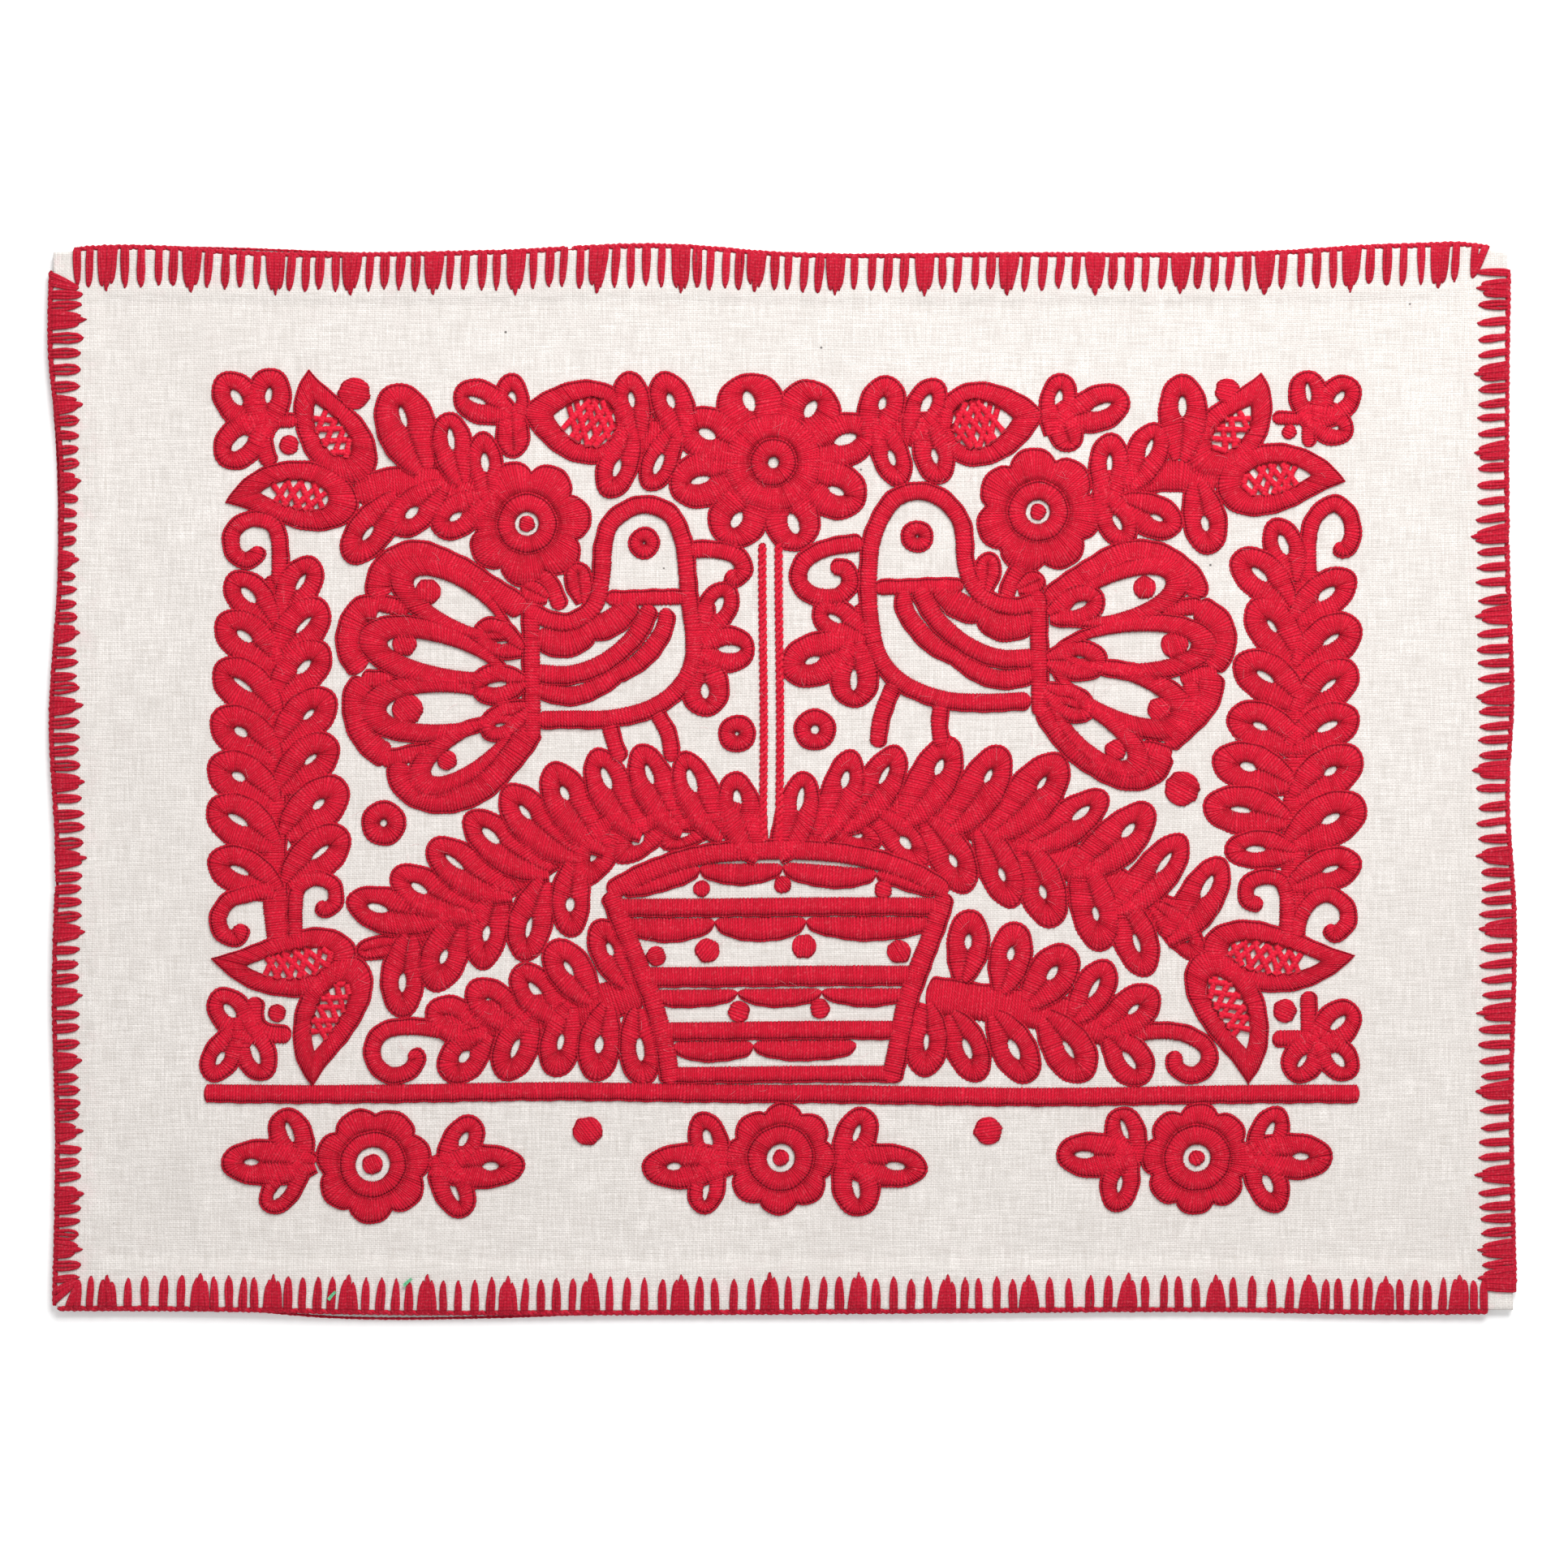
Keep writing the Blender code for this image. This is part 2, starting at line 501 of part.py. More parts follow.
# Low sprays: stem, curl, upper leaves, lower leaves, and the side that the lower ones bend to.
LOW_SPRAYS = {
    "left": (
        [(-66, -97), (-88, -104), (-112, -108), (-136, -111), (-158, -117)],
        [(-156, -116), (-171, -114), (-184, -115.5), (-190, -122.5), (-189, -131), (-182, -136.5),
         (-173.5, -135)],
        ((-80, -78, 111, 34, 20), (-99, -87, 122, 34, 22), (-114, -98, 130, 34, 22),
         (-134, -104, 144, 34, 22), (-153, -111, 155, 30, 22)),
        ((-66.5, -124, 276, 38, 21), (-85.5, -122, 262, 38, 21), (-103, -121, 258, 37, 20),
         (-124, -124, 246, 35, 22), (-148, -128, 228, 32, 22)), 1),
    "right": (
        [(66, -99), (88, -102), (112, -105), (136, -110), (160, -117)],
        [(160, -117), (174, -115.5), (186, -117), (196, -123), (197, -131), (190, -136.5), (182, -133)],
        ((86, -74.5, 84, 34, 21), (106, -80, 78, 34, 21), (125, -89, 54, 34, 23), (144, -96, 60, 32, 20),
         (162, -106, 38, 32, 22)),
        ((66, -121, 266, 36, 21), (85, -124, 292, 36, 21), (107, -124, 298, 38, 22),
         (132, -124, 302, 38, 24), (160, -129, 308, 30, 22)), -1),
}

# Wheels of the birds' eyes: x, y, radius. Rosettes: x, y, first notch. Almonds: x, y, heading.
EYES = {"left": (-64, 110.5, 7.8), "right": (62.5, 113, 7.8)}
ROSETTES = {"left": (-118, 119, 34), "right": (118.5, 125, 20)}
ALMONDS = {"left": (-121, 171, -9), "right": (121, 170, 189)}

DOTS = {
    "dot_stem_left": (-21.5, 22, 9.0),
    "dot_stem_right": (14.5, 23.5, 10.2),
    "dot_side_left": (-184.5, -20, 10.6),
    "dot_side_right": (185, -4, 8.2),
    "dot_top_left": (-198.5, 179, 7.6),
    "dot_top_right": (205.5, 180, 5.9),
    "dot_bottom_left": (-90.5, -162, 6.9),
    "dot_bottom_right": (95, -162, 6.7),
}

FLOWER_AT = (-4.7, 147.2)
FLOWER_PETALS = (
    (-16, 175.5, 110, 30, 32), (-35, 160.5, 155, 34, 26), (-38, 139.5, 194, 34, 27), (-21, 121, 238, 30, 28),
    (5, 119, 290, 30, 27), (25, 134, 337, 34, 27), (29, 157.5, 17, 34, 26), (12.5, 171.5, 55, 31, 31))

# Scallops of the basket: start's x and y, end's x and y, width, depth.
BASKET_SCALLOPS = (
    (-75, -50.5, -38, -40.5, 6, 3), (-38, -40.5, 0, -40.5, 5, 5.5), (0, -40, 44, -43.5, 5, 6),
    (44, -43.5, 72, -51.5, 7, 0.5), (-75, -65.5, -31, -65.5, 5, 7), (-31, -65.5, 11, -65.5, 5, 7),
    (11, -65.5, 69, -65.5, 5, 7), (-66, -98.5, -21, -98.5, 4, 5), (-21, -98.5, 18, -98.5, 4, 5.2),
    (18, -98.5, 60, -98.5, 4, 5.2), (-51, -123, -14, -123, 5.5, 4.5), (-14, -123, 34, -123, 5.5, 4.5))

# Level bars of the basket: left end, right end, height, width.
BASKET_BARS = ((-77, 72, -58.5, 9.2), (-67, 64, -91, 10), (-57, 54, -116, 9), (-54, 51, -136, 8.2))

BASKET_SIDES = (
    [(-80.5, -51), (-73, -70), (-66, -88), (-59.5, -106), (-54.5, -126), (-52.5, -140)],
    [(76, -52), (68.5, -74), (63, -88), (57, -106), (53, -126), (50, -140)])
BASKET_DOME = [
    (-81, -51), (-60, -40.5), (-38, -34), (-16, -32), (10, -32), (34, -34.5), (58, -41), (77, -51)]
BASE_BAR = [(-268, -144.3), (-180, -145), (-90, -143.6), (0, -145), (90, -146), (190, -145.5), (267, -145)]
# Sprigs: centre, radius, petals and first notch of the flower, then each leaf's middle from the centre,
# its heading, length, width and tail.
SPRIGS = {
    "left": (-189.5, -178, 27.6, 7, 36, (
        (-39, 15.5, 111, 27, 21, 6), (-56.5, 1.5, 178, 32, 22.5, 18), (-43, -12, 230, 27, 18, 6),
        (41.5, 11.5, 62, 28, 20, 6), (54.5, -1, 2, 37, 21.5, 14), (37.5, -12.5, 295, 30, 20, 6))),
    "middle": (-1, -175, 26.6, 8, 20, (
        (-33.5, 9.5, 107, 30, 19, 6), (-49, -3.5, 183, 35, 22, 14), (-34, -14.5, 262, 26, 18, 6),
        (35.5, 11.5, 70, 29, 20.5, 6), (53.5, -4, 355, 34, 21, 14), (35.5, -14, 282, 31, 23, 6))),
    "right": (192, -175, 26.6, 8, 20, (
        (-34, 13.5, 110, 26, 20, 6), (-52.5, 2, 178, 30, 22, 14), (-36, -12, 260, 30, 19, 6),
        (33, 12, 67, 30, 18.5, 6), (48, 0.5, 358, 35, 22.5, 14), (32.5, -12, 295, 33, 20, 6))),
}
STEMS = {"left": -9.3, "right": -1.8}


# Motifs

def side_spray(half):
    """Upright spray of two rows of leaves with a curl at its head and two at its foot."""
    parts = SIDE_SPRAYS[half]
    bands = stroke(parts["stem"], SPRAY_STEMS["side"])
    for row, sag in SIDE_SAGS.items():
        bands += leaves(parts[row], sag)
    for curl in parts["curls"]:
        bands += stroke(curl, CURL_WIDTH, step=CURL_STEP)
    return bands


def clover(name):
    """Leaves and strokes from one point."""
    rows, strokes = CLOVERS[name]
    bands = leaves(rows)
    for points, width in strokes:
        bands += stroke(points, width)
    return bands


def corner_paisleys(name):
    """The two paisleys of a corner."""
    return [band for row in CORNER_PAISLEYS[name] for band in paisley(*row)]


def top_spray(half):
    """Spray from the corner to the rosette, its two upper leaves large."""
    points, large, sag, small = TOP_SPRAYS[half]
    return stroke(points, SPRAY_STEMS["top"]) + leaves(large, sag, 0, 0.67) + leaves(small)


def flower_spray(half):
    """Short spray beside the great flower."""
    points, rows = FLOWER_SPRAYS[half]
    return stroke(points, SPRAY_STEMS["flower"]) + leaves(rows)


def tail(half):
    """Fan of feathers inside four round lobes, with small leaves over their roots."""
    side, lobes, feathers, roots, wedges = TAILS[half]
    bands = []
    for wedge in wedges:
        bands += stroke(wedge, STITCH_BAND)
    for lobe in lobes:
        bands += stroke(lobe, 9.4, side, step=LOBE_STEP, inward=LOBE_INWARD)
    for row in feathers:
        bands += feather(*row)
    return bands + leaves(roots, tail=4, share=0.5)


def neck():
    """Sprouts behind the left bird's neck."""
    bands = leaves(((-94, 92, 97, 20, 14), (-115, 87, 155, 13, 13)), tail=3, share=0.5)
    return bands + stroke([(-111, 97), (-106, 90), (-102, 79)], 8.5)


def wing():
    """Two scalloped bands of the left bird's wing and the plain one between them."""
    bands = stroke([(-114, 66), (-99, 65), (-87, 70.5), (-76, 77), (-69, 84)], 10, -1, 3.2, scallops=2)
    bands += stroke([(-115, 42), (-97, 40.5), (-82, 46.5), (-67, 56), (-56, 69), (-53, 80)], 7.5, -1, 2,
                    scallops=2)
    return bands + stroke([(-115, 49.5), (-98, 49), (-82, 55), (-68, 67), (-60, 81)], 9.5, -1)


def bird(half):
    """Outline, upright band, collar, curled beak, legs, wing and the sprouts behind the neck."""
    parts = BIRDS[half]
    side = parts["side"]
    bands = stroke(parts["outline"], STITCH_BAND, side) + stroke(parts["upright"], STITCH_BAND, -side)
    bands += stroke(parts["collar"], COLLAR_WIDTH) + stroke(parts["beak"], STITCH_BAND, step=CURL_STEP)
    for leg in parts["legs"]:
        bands += stroke(leg, LEG_WIDTH)
    for drawn, shift in ((neck(), parts["neck_shift"]), (wing(), parts["wing_shift"])):
        bands += [(outline * (side, 1) + shift, None) for outline, _ in drawn]
    return bands


def breast_sprig(half):
    """Three leaves on a stem before the breast."""
    rows, points = BREAST_SPRIGS[half]
    return leaves(rows) + stroke(points, SPRAY_STEMS["breast"])


def arch(half):
    """Long spray that arches from the basket's top to the side."""
    points, upper, lower, side = ARCHES[half]
    bands = stroke(points, SPRAY_STEMS["arch"])
    bands += leaves(upper, -side * ARCH_UPPER["sag"], ARCH_UPPER["tail"], ARCH_UPPER["share"])
    return bands + leaves(lower, side * ARCH_LOWER["sag"], ARCH_LOWER["tail"])


def lower_spray(half):
    """Spray beside the basket, ending in a curl."""
    points, curl, upper, lower, side = LOW_SPRAYS[half]
    bands = stroke(points, SPRAY_STEMS["low"]) + leaves(upper, -side * LOW_UPPER["sag"], LOW_UPPER["tail"])
    bands += leaves(lower, side * LOW_LOWER["sag"], LOW_LOWER["tail"])
    return bands + stroke(curl, CURL_WIDTH, step=CURL_STEP)


def flower():
    """Eight petals about a ring."""
    bands = [(circle(*FLOWER_AT, 23.5), circle(*FLOWER_AT, 2.4, 6))]
    return bands + leaves(FLOWER_PETALS)


def basket():
    """Domed basket of straight and scalloped bands between two slanting sides."""
    bands = stroke(BASKET_DOME, BASKET_RIM, step=SIDE_STEP)
    for points in BASKET_SIDES:
        bands += stroke(points, BASKET_RIM, step=SIDE_STEP)
    for left, right, y, width in BASKET_BARS:
        bands += stroke([(left, y), (right, y)], width, step=STRAIGHT_STEP)
    for x0, y0, x1, y1, width, deep in BASKET_SCALLOPS:
        bands += stroke([(x0, y0), (x1, y1)], width, -1, deep)
    return bands


def base_bar():
    """Long band that the basket and the low sprays stand on."""
    return stroke(BASE_BAR, STITCH_BAND, step=STRAIGHT_STEP)


def stem(x):
    """Thin upright line between the birds."""
    return stroke([(x, 110), (x, -28)], STEM_WIDTH, step=STRAIGHT_STEP)


def sprig(x, y, radius, petals, notch, rows):
    """Flower with three leaves on each side."""
    bands = rosette(x, y, radius, petals, 0.16, notch, 8)
    for dx, dy, heading, length, width, root in rows:
        bands += leaf(x + dx, y + dy, heading, length, width, tail=root)
    return bands


def all_motifs():
    """Name and bands of every motif, in the order in which they are worked."""
    motifs = [("flower", flower()), ("basket", basket()), ("base_bar", base_bar())]
    motifs += [("sprig_" + word, sprig(*row)) for word, row in SPRIGS.items()]
    motifs += [("stem_" + word, stem(x)) for word, x in STEMS.items()]
    for half in ("left", "right"):
        x, y, notch = ROSETTES[half]
        drawn = {
            "bird": bird(half),
            "bird_eye": dot(*EYES[half]),
            "bird_tail": tail(half),
            "rosette": rosette(x, y, 30, 7, 0.2, notch, 7.2),
            "paisley_long": paisley(*ALMONDS[half], 52, 39.5, 0, 8.8, 0.28),
            "paisleys_top": corner_paisleys("paisleys_top_" + half),
            "paisleys_bottom": corner_paisleys("paisleys_bottom_" + half),
            "clover_top": clover("clover_top_" + half),
            "clover_bottom": clover("clover_bottom_" + half),
            "arch": arch(half),
            "lower_spray": lower_spray(half),
            "side_spray": side_spray(half),
            "top_spray": top_spray(half),
            "flower_spray": flower_spray(half),
            "sprout": leaves(SPROUTS[half]),
            "breast_sprig": breast_sprig(half),
        }
        motifs += [(name + "_" + half, bands) for name, bands in drawn.items()]
    motifs += [(name, dot(*row)) for name, row in DOTS.items()]
    return [(name, [(by_hand(a), None if b is None else by_hand(b)) for a, b in bands])
            for name, bands in motifs]


def waves(rows, *places):
    """Sum of slow waves, each row's wave over its own places."""
    return sum(height * np.sin(rate * at + start) for (height, rate, start), at in zip(rows, places))


def by_hand(outline):
    """Moves an outline by the slow wander of hand work."""
    x, y = outline.T
    return outline + np.stack([waves(WANDER["across"], y, x), waves(WANDER["along"], x, y)], 1)


# Flat shapes and the prisms that stand on them

def anticlockwise(outline):
    """The outline, turned round if it runs clockwise."""
    x, y = outline.T
    area = np.sum(x * np.roll(y, -1) - y * np.roll(x, -1))
    return outline if area > 0 else outline[::-1]


def grown(outline, by):
    """The outline moved outwards; a negative amount moves it inwards."""
    ring = anticlockwise(outline)
    run = np.roll(ring, -1, axis=0) - np.roll(ring, 1, axis=0)
    run /= np.linalg.norm(run, axis=1)[:, None]
    return ring + by * np.stack([run[:, 1], -run[:, 0]], 1)


def near(outline, low, high):
    """True where the outline's box meets the box between low and high."""
    return bool(np.all(outline.max(axis=0) > low) and np.all(outline.min(axis=0) < high))


def flat_cover(bands, earlier=()):
    """Points and triangles that the bands cover and the earlier bands, grown by the gap, don't."""
    low = np.min([outline.min(axis=0) for outline, _ in bands], axis=0) - 1
    high = np.max([outline.max(axis=0) for outline, _ in bands], axis=0) + 1
    others = []
    for outline, window in earlier:
        if near(outline, low, high):
            others.append((grown(outline, GAP), None if window is None else grown(window, -GAP)))
    points, rings, uses = [], [], []
    for number, (outline, window) in enumerate(bands + others):
        for ring, solid in ((outline, True), (window, False)):
            if ring is None:
                continue
            start = len(points)
            points += [tuple(p) for p in anticlockwise(ring)]
            rings.append(list(range(start, len(points))))
            uses.append((number, solid))
    verts, _, faces, _, _, origins = delaunay_2d_cdt(points, [], rings, 1, 1e-4)
    kept = []
    for face, origin in zip(faces, origins):
        inside = {uses[k][0] for k in origin if uses[k][1]}
        through = {uses[k][0] for k in origin if not uses[k][1]}
        covering = inside - through
        if covering and max(covering) < len(bands):
            kept.append(face)
    return [tuple(v) for v in verts], kept


def keep_largest_region(bm):
    """Deletes every face that doesn't hang together with the largest run of faces."""
    regions, seen = [], set()
    for face in bm.faces:
        if face in seen:
            continue
        region, front = [], [face]
        seen.add(face)
        while front:
            at = front.pop()
            region.append(at)
            beside = {other for edge in at.edges for other in edge.link_faces} - seen
            seen |= beside
            front += list(beside)
        regions.append(region)
    regions.sort(key=lambda region: sum(face.calc_area() for face in region))
    loose = [face for region in regions[:-1] for face in region]
    bmesh.ops.delete(bm, geom=loose, context="FACES")


def merge_level_faces(bm):
    """Dissolves the edges inside level areas and the points on straight runs, then cuts into triangles."""
    bm.normal_update()
    bmesh.ops.dissolve_limit(bm, angle_limit=LEVEL, verts=bm.verts, edges=bm.edges)
    bmesh.ops.triangulate(bm, faces=bm.faces)


def prism(verts, faces, low, high, is_flat=False):
    """Closed solid over flat triangles; low and high turn a flat point into its lower and upper place.

    In a level shape the small pockets between leaves are closed, and the points inside it, and those on
    its straight runs, are dissolved.
    """
    bm = bmesh.new()
    made = [bm.verts.new((x, y, 0)) for x, y in verts]
    for face in faces:
        bm.faces.new([made[k] for k in face])
    keep_largest_region(bm)
    bmesh.ops.delete(bm, geom=[v for v in bm.verts if not v.link_faces], context="VERTS")
    if is_flat:
        bmesh.ops.holes_fill(bm, edges=bm.edges, sides=POCKET_SIDES)
        merge_level_faces(bm)
    raised = bmesh.ops.extrude_face_region(bm, geom=bm.faces[:], use_keep_orig=True)
    tops = {item for item in raised["geom"] if isinstance(item, bmesh.types.BMVert)}
    for vert in bm.verts:
        vert.co = (high if vert in tops else low)(vert.co.x, vert.co.y)
    bmesh.ops.recalc_face_normals(bm, faces=bm.faces)
    return bm


# Cloth panels

SIDES = ("top", "bottom", "left", "right")


def side_length(side):
    """Length of a panel's side."""
    return WIDTH if side in ("top", "bottom") else HEIGHT


def from_side(side, along, inward):
    """Flat point at a place along a side, counted from its left or top end, and a distance inwards."""
    if side == "top":
        return -WIDTH / 2 + along, HEIGHT / 2 - inward
    if side == "bottom":
        return -WIDTH / 2 + along, -HEIGHT / 2 + inward
    if side == "left":
        return -WIDTH / 2 + inward, HEIGHT / 2 - along
    return WIDTH / 2 - inward, HEIGHT / 2 - along


def grid_lines(length):
    """Places of a panel's grid lines across one side, close together at the hem."""
    rim = np.array([0, HEM_WIDTH, HEM_WIDTH + HEM_STEP, RIM_WIDTH])
    cells = int(round((length - 2 * RIM_WIDTH) / GRID_CELL))
    middle = np.linspace(RIM_WIDTH, length - RIM_WIDTH, cells + 1)
    return np.concatenate([rim[:-1], middle, (length - rim[:-1])[::-1]])


def rim_share(inward):
    """1 at the edge, falling to 0 at the rim's inner line."""
    return np.clip(1 - inward / RIM_WIDTH, 0, 1) ** 1.5


class Panel:
    """Cloth panel: a grid of points between its bowed sides, with its lower and upper heights."""

    def __init__(self, is_back):
        self.across = grid_lines(WIDTH)
        self.down = grid_lines(HEIGHT)
        s, t = np.meshgrid(self.across, self.down)
        self.x = s - WIDTH / 2
        self.y = HEIGHT / 2 - t
        lift = np.zeros_like(s)
        hem = np.zeros_like(s)
        for side in SIDES:
            along = s if side in ("top", "bottom") else t
            inward = {"top": t, "bottom": HEIGHT - t, "left": s, "right": WIDTH - s}[side]
            place = along / side_length(side)
            out = smooth_table(SIDE_BOWS[side], place)
            if is_back:
                out = out + smooth_table(BACK_SHOWS[side], place)
            out = out * rim_share(inward)
            step_x, step_y = from_side(side, 0, -1)
            base_x, base_y = from_side(side, 0, 0)
            self.x = self.x + (step_x - base_x) * out
            self.y = self.y + (step_y - base_y) * out
            lift = lift + smooth_table(RIM_LIFTS[side], place) * rim_share(inward)
            hem = np.maximum(hem, HEM_RISE * (inward < HEM_WIDTH + HEM_STEP / 2))
        self.low = np.zeros_like(s) if is_back else FRONT_BOTTOM + lift
        self.high = np.full_like(s, BACK_TOP) if is_back else FRONT_TOP + lift + hem

    def place(self, x, y, heights):
        """Where a flat point lies on the panel; past an edge it goes on straight."""
        s = np.clip(x + WIDTH / 2, 0, WIDTH)
        t = np.clip(HEIGHT / 2 - y, 0, HEIGHT)
        i = int(np.clip(np.searchsorted(self.across, s) - 1, 0, len(self.across) - 2))
        j = int(np.clip(np.searchsorted(self.down, t) - 1, 0, len(self.down) - 2))
        f = (s - self.across[i]) / (self.across[i + 1] - self.across[i])
        g = (t - self.down[j]) / (self.down[j + 1] - self.down[j])
        found = []
        for grid in (self.x, self.y, heights):
            upper = grid[j, i] * (1 - f) + grid[j, i + 1] * f
            lower = grid[j + 1, i] * (1 - f) + grid[j + 1, i + 1] * f
            found.append(upper * (1 - g) + lower * g)
        past_x = x + WIDTH / 2 - s
        past_y = y - HEIGHT / 2 + t
        return np.array([found[0] + past_x, found[1] + past_y, found[2]])

    def solid(self):
        """Closed sheet: upper grid, lower grid and the wall round them."""
        bm = bmesh.new()
        rows, columns = self.x.shape
        layers = []
        for heights in (self.low, self.high):
            layer = [[None] * columns for _ in range(rows)]
            for j in range(rows):
                for i in range(columns):
                    layer[j][i] = bm.verts.new((self.x[j, i], self.y[j, i], heights[j, i]))
            for j in range(rows - 1):
                for i in range(columns - 1):
                    bm.faces.new((layer[j][i], layer[j][i + 1], layer[j + 1][i + 1], layer[j + 1][i]))
            layers.append(layer)
        for low, high in zip(*(self.rim(layer) for layer in layers)):
            bm.faces.new((low[0], low[1], high[1], high[0]))
        bmesh.ops.recalc_face_normals(bm, faces=bm.faces)
        merge_level_faces(bm)
        return bm

    def rim(self, layer):
        """Pairs of neighbouring points round a grid's edge."""
        ring = layer[0][:-1] + [row[-1] for row in layer[:-1]]
        ring += layer[-1][:0:-1] + [row[0] for row in layer[:0:-1]]
        return list(zip(ring, ring[1:] + ring[:1]))


# Blanket stitch

def hand(number, salt):
    """Repeatable value from -1 to 1 for one stitch."""
    return 2 * (np.sin(12.9898 * number + 78.233 * salt) * 43758.5453 % 1) - 1


def bars_on(side):
    """Place, width, length and slant of each bar on a side; one in every group is a thick block."""
    start, end, fatness = SIDE_STITCHES[side]
    run = side_length(side) - start - end
    groups = int(round(run / GROUP_PITCH))
    pitch = run / groups
    bars = []
    for number in range(groups * BARS_IN_GROUP):
        group, k = divmod(number, BARS_IN_GROUP)
        salt = SIDES.index(side) + 1
        if k == 0:
            share = BLOCK_SHARE / 2
            width = BLOCK_WIDTH
        else:
            share = BLOCK_SHARE + (1 - BLOCK_SHARE) * (k - 0.5) / (BARS_IN_GROUP - 1)
            width = BAR_WIDTH * fatness * (1 + WIDTH_JITTER * hand(number, salt))
        place = start + (group + share) * pitch + PLACE_JITTER * hand(number, salt + 5)
        length = float(smooth_table(BAR_LENGTHS[side], place / side_length(side)))
        length *= 1 + LENGTH_JITTER * hand(number, salt + 9)
        length += BLOCK_EXTRA * (k == 0)
        bars.append((place, width, length, SLANT * hand(number, salt + 13)))
    return bars


def ridge_stations(side, panel):
    """Places along a side's ridge: its ends and the panel's grid lines between them."""
    start, end, _ = SIDE_STITCHES[side]
    stop = side_length(side) - end
    lines = panel.across if side in ("top", "bottom") else panel.down
    return [start] + [place for place in lines if start + 1 < place < stop - 1] + [stop]


def comb_outline(side, panel):
    """Outline, along and inwards, of a side's ridge with its bars standing on it."""
    stations = ridge_stations(side, panel)
    outline = [(place, -GAP - RIDGE_WIDTH) for place in stations]
    inner = [(stations[0], -GAP)]
    for place, width, length, slant in bars_on(side):
        half = width / 2
        tip = half * (BLOCK_TIP if width == BLOCK_WIDTH else BAR_TIP)
        inner += [(place - half, -GAP), (place - tip + slant, length)]
        inner += [(place + tip + slant, length), (place + half, -GAP)]
    inner.append((stations[-1], -GAP))
    return outline + inner[::-1]


def comb(side, panel):
    """Ridge and bars of one side's blanket stitch, lying on the front panel's hem."""
    outline = np.array([from_side(side, along, inward) for along, inward in comb_outline(side, panel)])
    half = np.array([WIDTH, HEIGHT]) / 2

    def low(x, y):
        point = panel.place(x, y, panel.high) + (0, 0, GAP)
        past = np.max(np.abs((x, y)) - half)
        if past > GAP + RIDGE_WIDTH / 2:
            point[2] = panel.place(x, y, panel.low)[2]
        return point

    def high(x, y):
        return panel.place(x, y, panel.high) + (0, 0, GAP + BAR_THICKNESS)

    return prism(*flat_cover([(outline, None)]), low, high)


def back_ridge(side, panel):
    """Ridge of one side's blanket stitch on the back panel's edge."""
    stations = ridge_stations(side, panel)
    rails = [[(place, -GAP - out) for place in stations] for out in (0, RIDGE_WIDTH)]
    outline = np.array([from_side(side, along, inward) for along, inward in rails[0] + rails[1][::-1]])

    def low(x, y):
        return panel.place(x, y, panel.low)

    def high(x, y):
        return panel.place(x, y, panel.high)

    return prism(*flat_cover([(outline, None)]), low, high)


def plate(bands, earlier):
    """Level plate of embroidery, kept clear of the bands worked before it."""

    def low(x, y):
        return x, y, WORK_BOTTOM

    def high(x, y):
        return x, y, WORK_BOTTOM + WORK_HEIGHT

    return prism(*flat_cover(bands, earlier), low, high, is_flat=True)


def centre_on_box():
    """Moves every mesh so that the middle of the whole box stands over the origin."""
    made = bpy.context.scene.objects
    points = np.array([vert.co for item in made for vert in item.data.vertices])
    middle = (points.min(axis=0) + points.max(axis=0)) / 2
    for item in made:
        for vert in item.data.vertices:
            vert.co.x -= middle[0]
            vert.co.y -= middle[1]


def main():
    """Builds the panels, the blanket stitch and the embroidery."""
    for item in list(bpy.data.objects):
        bpy.data.objects.remove(item)
    cloth = material("cotton_cloth", CLOTH_COLOUR, 0.9)
    wool = material("red_wool", WOOL_COLOUR, 0.75)
    back, front = Panel(True), Panel(False)
    add_object("back_panel", back.solid(), cloth)
    add_object("front_panel", front.solid(), cloth)
    for side in SIDES:
        add_object("edging_" + side, comb(side, front), wool)
        add_object("back_edging_" + side, back_ridge(side, back), wool)
    earlier = []
    for name, bands in all_motifs():
        add_object(name, plate(bands, earlier), wool)
        earlier += bands
    centre_on_box()


main()
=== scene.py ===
"""Looks of the embroidered pillowcase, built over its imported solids.

The pillowcase lies flat with its worked side up. Two cloth sheets lie one on the other, blanket stitch in
red wool runs round both, and the front sheet carries bands of close buttonhole stitch: every band is a
ribbon between two rails, and each stitch in it is a rounded ridge that runs from the inner rail to the
purled edge on the outer one.

Tables and shapes are in millimetres in the drawing's own frame, with X to the right and Y to the top.
Meshes are in metres in the frame of the solids.
"""

from __future__ import annotations

import logging
import zlib
from dataclasses import dataclass, field, replace
from enum import Enum
from typing import Any, Callable, Iterable, Sequence

